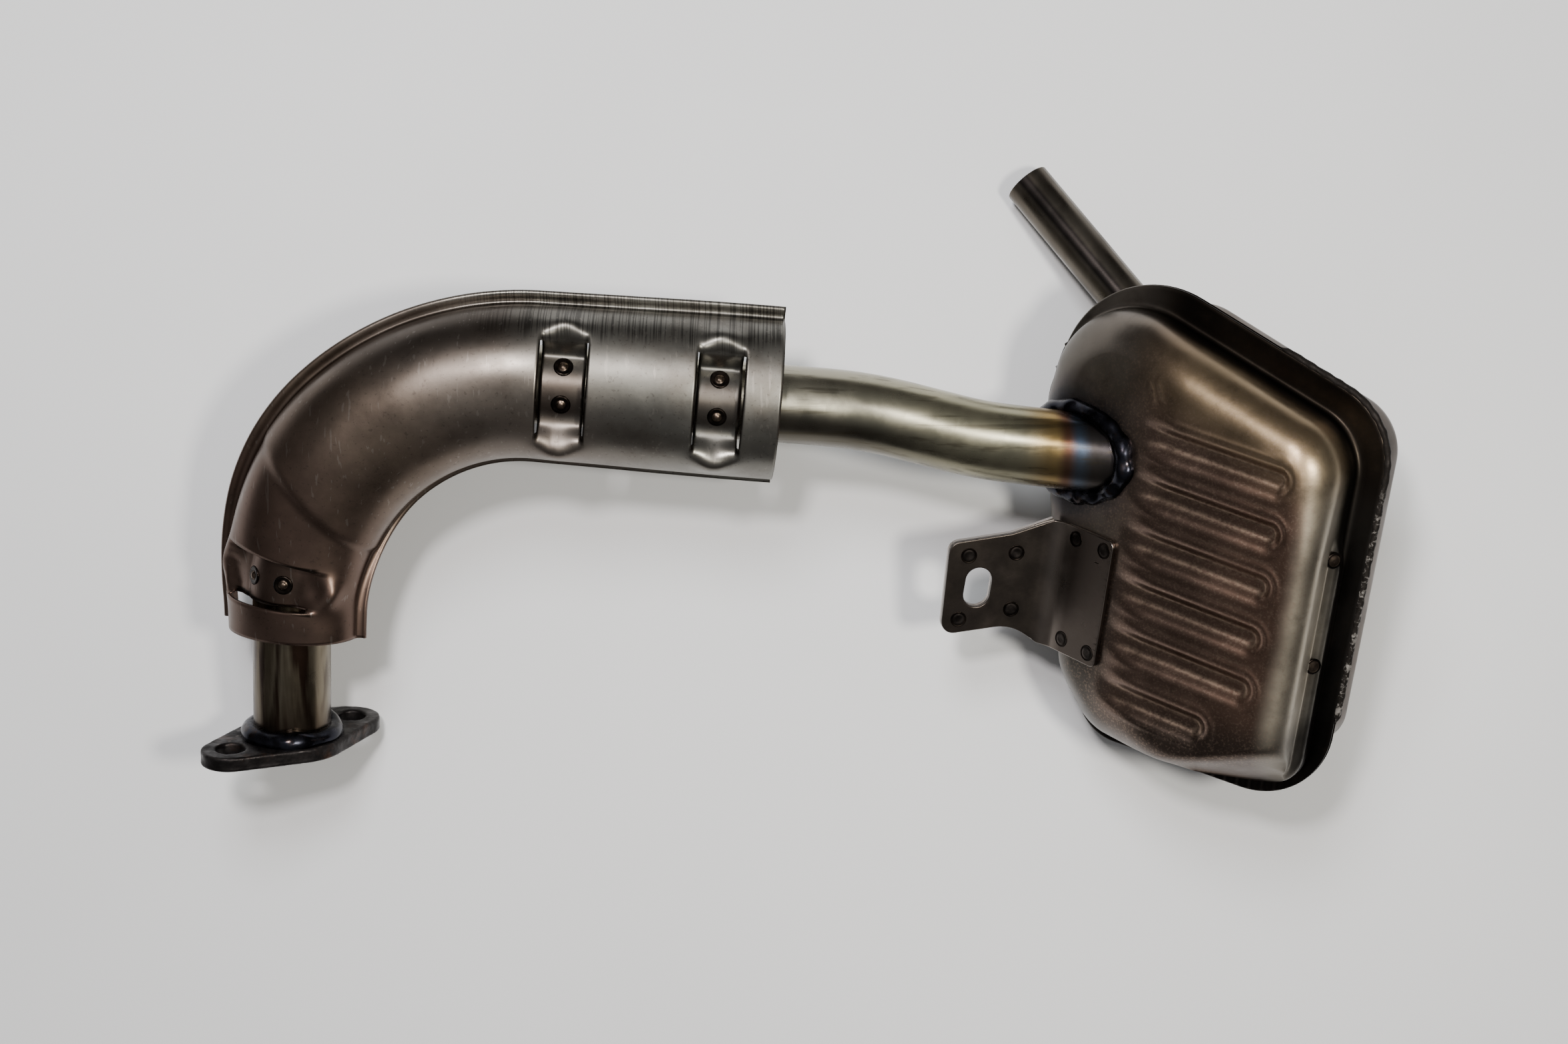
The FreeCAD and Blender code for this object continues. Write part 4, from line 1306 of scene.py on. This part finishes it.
def bracket_top_plate():
    """The slotted plate, cut from its flat pattern and then folded."""
    outline, slot = bracket_outline()
    mesh = flat_plate("bracket_plate", outline, [slot], PLATE_T, 0.3)
    cuts = [(x, (1, 0, 0)) for x in np.linspace(-34, 22, 57)]
    cuts += [(y, (0, 1, 0)) for y in np.linspace(-20, 20, 21)]
    cuts += [(x + 0.013, (1, 0, 0)) for x in np.linspace(-FOLD_HALF, FOLD_HALF, 17)]
    with edited(mesh) as opened:
        for at, way in cuts:
            bmesh.ops.bisect_plane(opened, geom=[*opened.verts, *opened.edges, *opened.faces],
                                   plane_co=[c * at for c in way], plane_no=way)
        bmesh.ops.remove_doubles(opened, verts=opened.verts, dist=0.04)
        for vert, place in zip(opened.verts, folded([v.co[:] for v in opened.verts])):
            vert.co = Vector(place) * MM
    piece = adopt("bracket_top_sheet", mesh, BRACKET_SHEET, MUFFLER, "bracket_top_plate")
    smooth_all(mesh)
    keep_edges_crisp(mesh, 40)
    even = piece.modifiers.new("even_normals", "WEIGHTED_NORMAL")
    even.keep_sharp = True
    return baked(piece)


def keep_edges_crisp(mesh, angle):
    """Marks steep edges sharp, so that smooth shading stops at them."""
    with edited(mesh) as opened:
        for edge in opened.edges:
            if len(edge.link_faces) == 2 and edge.calc_face_angle(0) > math.radians(angle):
                edge.smooth = False


def bracket_spots():
    """Four flat spot welds on the tab and four on the foot."""
    tab = [(BEND_AT + TAB_X * x + TAB_Y * y, TAB_N) for x, y in TAB_SPOTS]
    foot = [(on_facet(x, y, PLATE_T), FOOT_N) for x, y in FOOT_SPOTS]
    profile = [(0.0, 0.1), (1.2, 0.12), (1.6, 0.16), (1.9, 0.06), (2.3, 0.05), (2.5, 0.16),
               (2.65, 0.02), (2.66, -0.3)]
    for part, spots in (("tab", tab), ("foot", foot)):
        buttons(f"{part}_spot_marks", spots, profile, SPOT_WELD, MUFFLER,
                f"{part}_spot_welds")


def plug_welds():
    """Filled holes: two low on the right wall's ledge, one on the left facet."""
    wall = unit([1.0, 0.0, 0.75])
    spots = [(np.array([33.2, v, 10.4]), wall) for v in BAFFLE_AT]
    spots.append((np.array([-37.3, 13.5, 21.55]), FOOT_N))
    profile = [(0.0, 0.3), (1.0, 0.28), (1.5, 0.12), (1.9, 0.1), (2.3, 0.34), (2.6, 0.1),
               (2.62, -0.6)]
    buttons("baffle_plug_marks", spots, profile, SHIELD_SPOT, MUFFLER, "baffle_plug_welds")


# ---------------------------------------------------------- carried-over nodes

def dress_cad_nodes():
    """Materials for the nodes that are shown as the CAD has them."""
    finish = {
        "header_pipe": HEADER_TUBE, "tail_pipe": TAIL_TUBE,
        "bracket_bottom_plate": BRACKET_SHEET, "perforated_tube": INNER_SHEET,
        "perforated_tube_cap": INNER_SHEET, "upper_baffle": INNER_SHEET,
        "lower_baffle": INNER_SHEET, "transfer_tube": INNER_SHEET}
    for node, material in finish.items():
        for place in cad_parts[node].material_slots:
            place.material = material


# ---------------------------------------------------------------------- scene

def floor():
    """A wide flat table top, just under the part."""
    steps = 24
    ticks = np.linspace(-TABLE_HALF, TABLE_HALF, steps)
    points = [(x, y, -0.02) for y in ticks for x in ticks]
    piece = linked("table_top", mesh_of("table_top", points, grid_faces(steps, steps)))
    piece.data.materials.append(table_material())


def lamp(name, at, aim, size, power, colour):
    """A round soft light, its place and aim in mm."""
    data = bpy.data.lights.new(name, "AREA")
    data.shape, data.size, data.energy, data.color = "DISK", size * MM, power, colour
    light = linked(name, data)
    light.location = Vector(at) * MM
    light.rotation_mode = "QUATERNION"
    light.rotation_quaternion = (Vector(aim) * MM - light.location).to_track_quat("-Z", "Y")
    return light


def lights():
    """Two small bright lights, a wide one behind, and a room that is paler above."""
    lamp("right_light", (330, -60, 900), (20, 0, 0), 120, 5.8, (1.0, 0.965, 0.88))
    lamp("left_light", (-150, 230, 940), (0, 0, 0), 110, 5.8, (1.0, 0.955, 0.945))
    fill = lamp("back_light", (-160, 560, 1000), (40, 0, 0), 380, 8, (0.93, 0.97, 1.0))
    fill.visible_glossy = False
    world = bpy.data.worlds.new("room")
    bpy.context.scene.world = world
    world.use_nodes = True
    nodes, links = world.node_tree.nodes, world.node_tree.links
    way, split = nodes.new("ShaderNodeTexCoord"), nodes.new("ShaderNodeSeparateXYZ")
    ramp, back = nodes.new("ShaderNodeValToRGB"), nodes["Background"]
    links.new(way.outputs["Generated"], split.inputs[0])
    links.new(split.outputs["Z"], ramp.inputs[0])
    links.new(ramp.outputs["Color"], back.inputs["Color"])
    set_stops(ramp.color_ramp, [(0.0, (0.13, 0.12, 0.115)), (0.35, (0.22, 0.21, 0.205)),
                                (0.7, (0.42, 0.42, 0.42)), (1.0, (0.6, 0.61, 0.63))])
    back.inputs["Strength"].default_value = 0.5


def camera():
    """Straight down from above the middle of the table, a 50 mm lens."""
    data = bpy.data.cameras.new("camera")
    data.sensor_width, data.lens = 36.0, 50.0
    data.clip_start, data.clip_end = 0.01, 20.0
    eye = linked("camera", data)
    eye.location = Vector((SHIFT[0], SHIFT[1], CAMERA_UP)) * MM
    eye.rotation_euler = (0, 0, 0)
    bpy.context.scene.camera = eye


SHIELD_SHEET = shield_material()
MUFFLER_SHEET = muffler_material()
HEADER_TUBE = header_material()
FLANGE_STEEL = flange_material()
HEADER_WELD = weld_material()
SEAM_BEAD = seam_material()
BRACKET_SHEET = bracket_material()
SPOT_WELD = spot_material("spot_welds", (0.05, 0.042, 0.038))
SHIELD_SPOT = spot_material("shield_spots", (0.14, 0.105, 0.08))
BURNT_RING = spot_material("burnt_ring", (0.022, 0.017, 0.014))
TAIL_TUBE = tail_material()
INNER_SHEET = inner_material()

heat_shield()
shield_spot_welds()
front_shell()
rear_shell()
flange_weld()
inlet_weld()
tail_pipe_weld()
seam_weld()
header_flange()
bracket_top_plate()
bracket_spots()
plug_welds()
dress_cad_nodes()
floor()
lights()
camera()
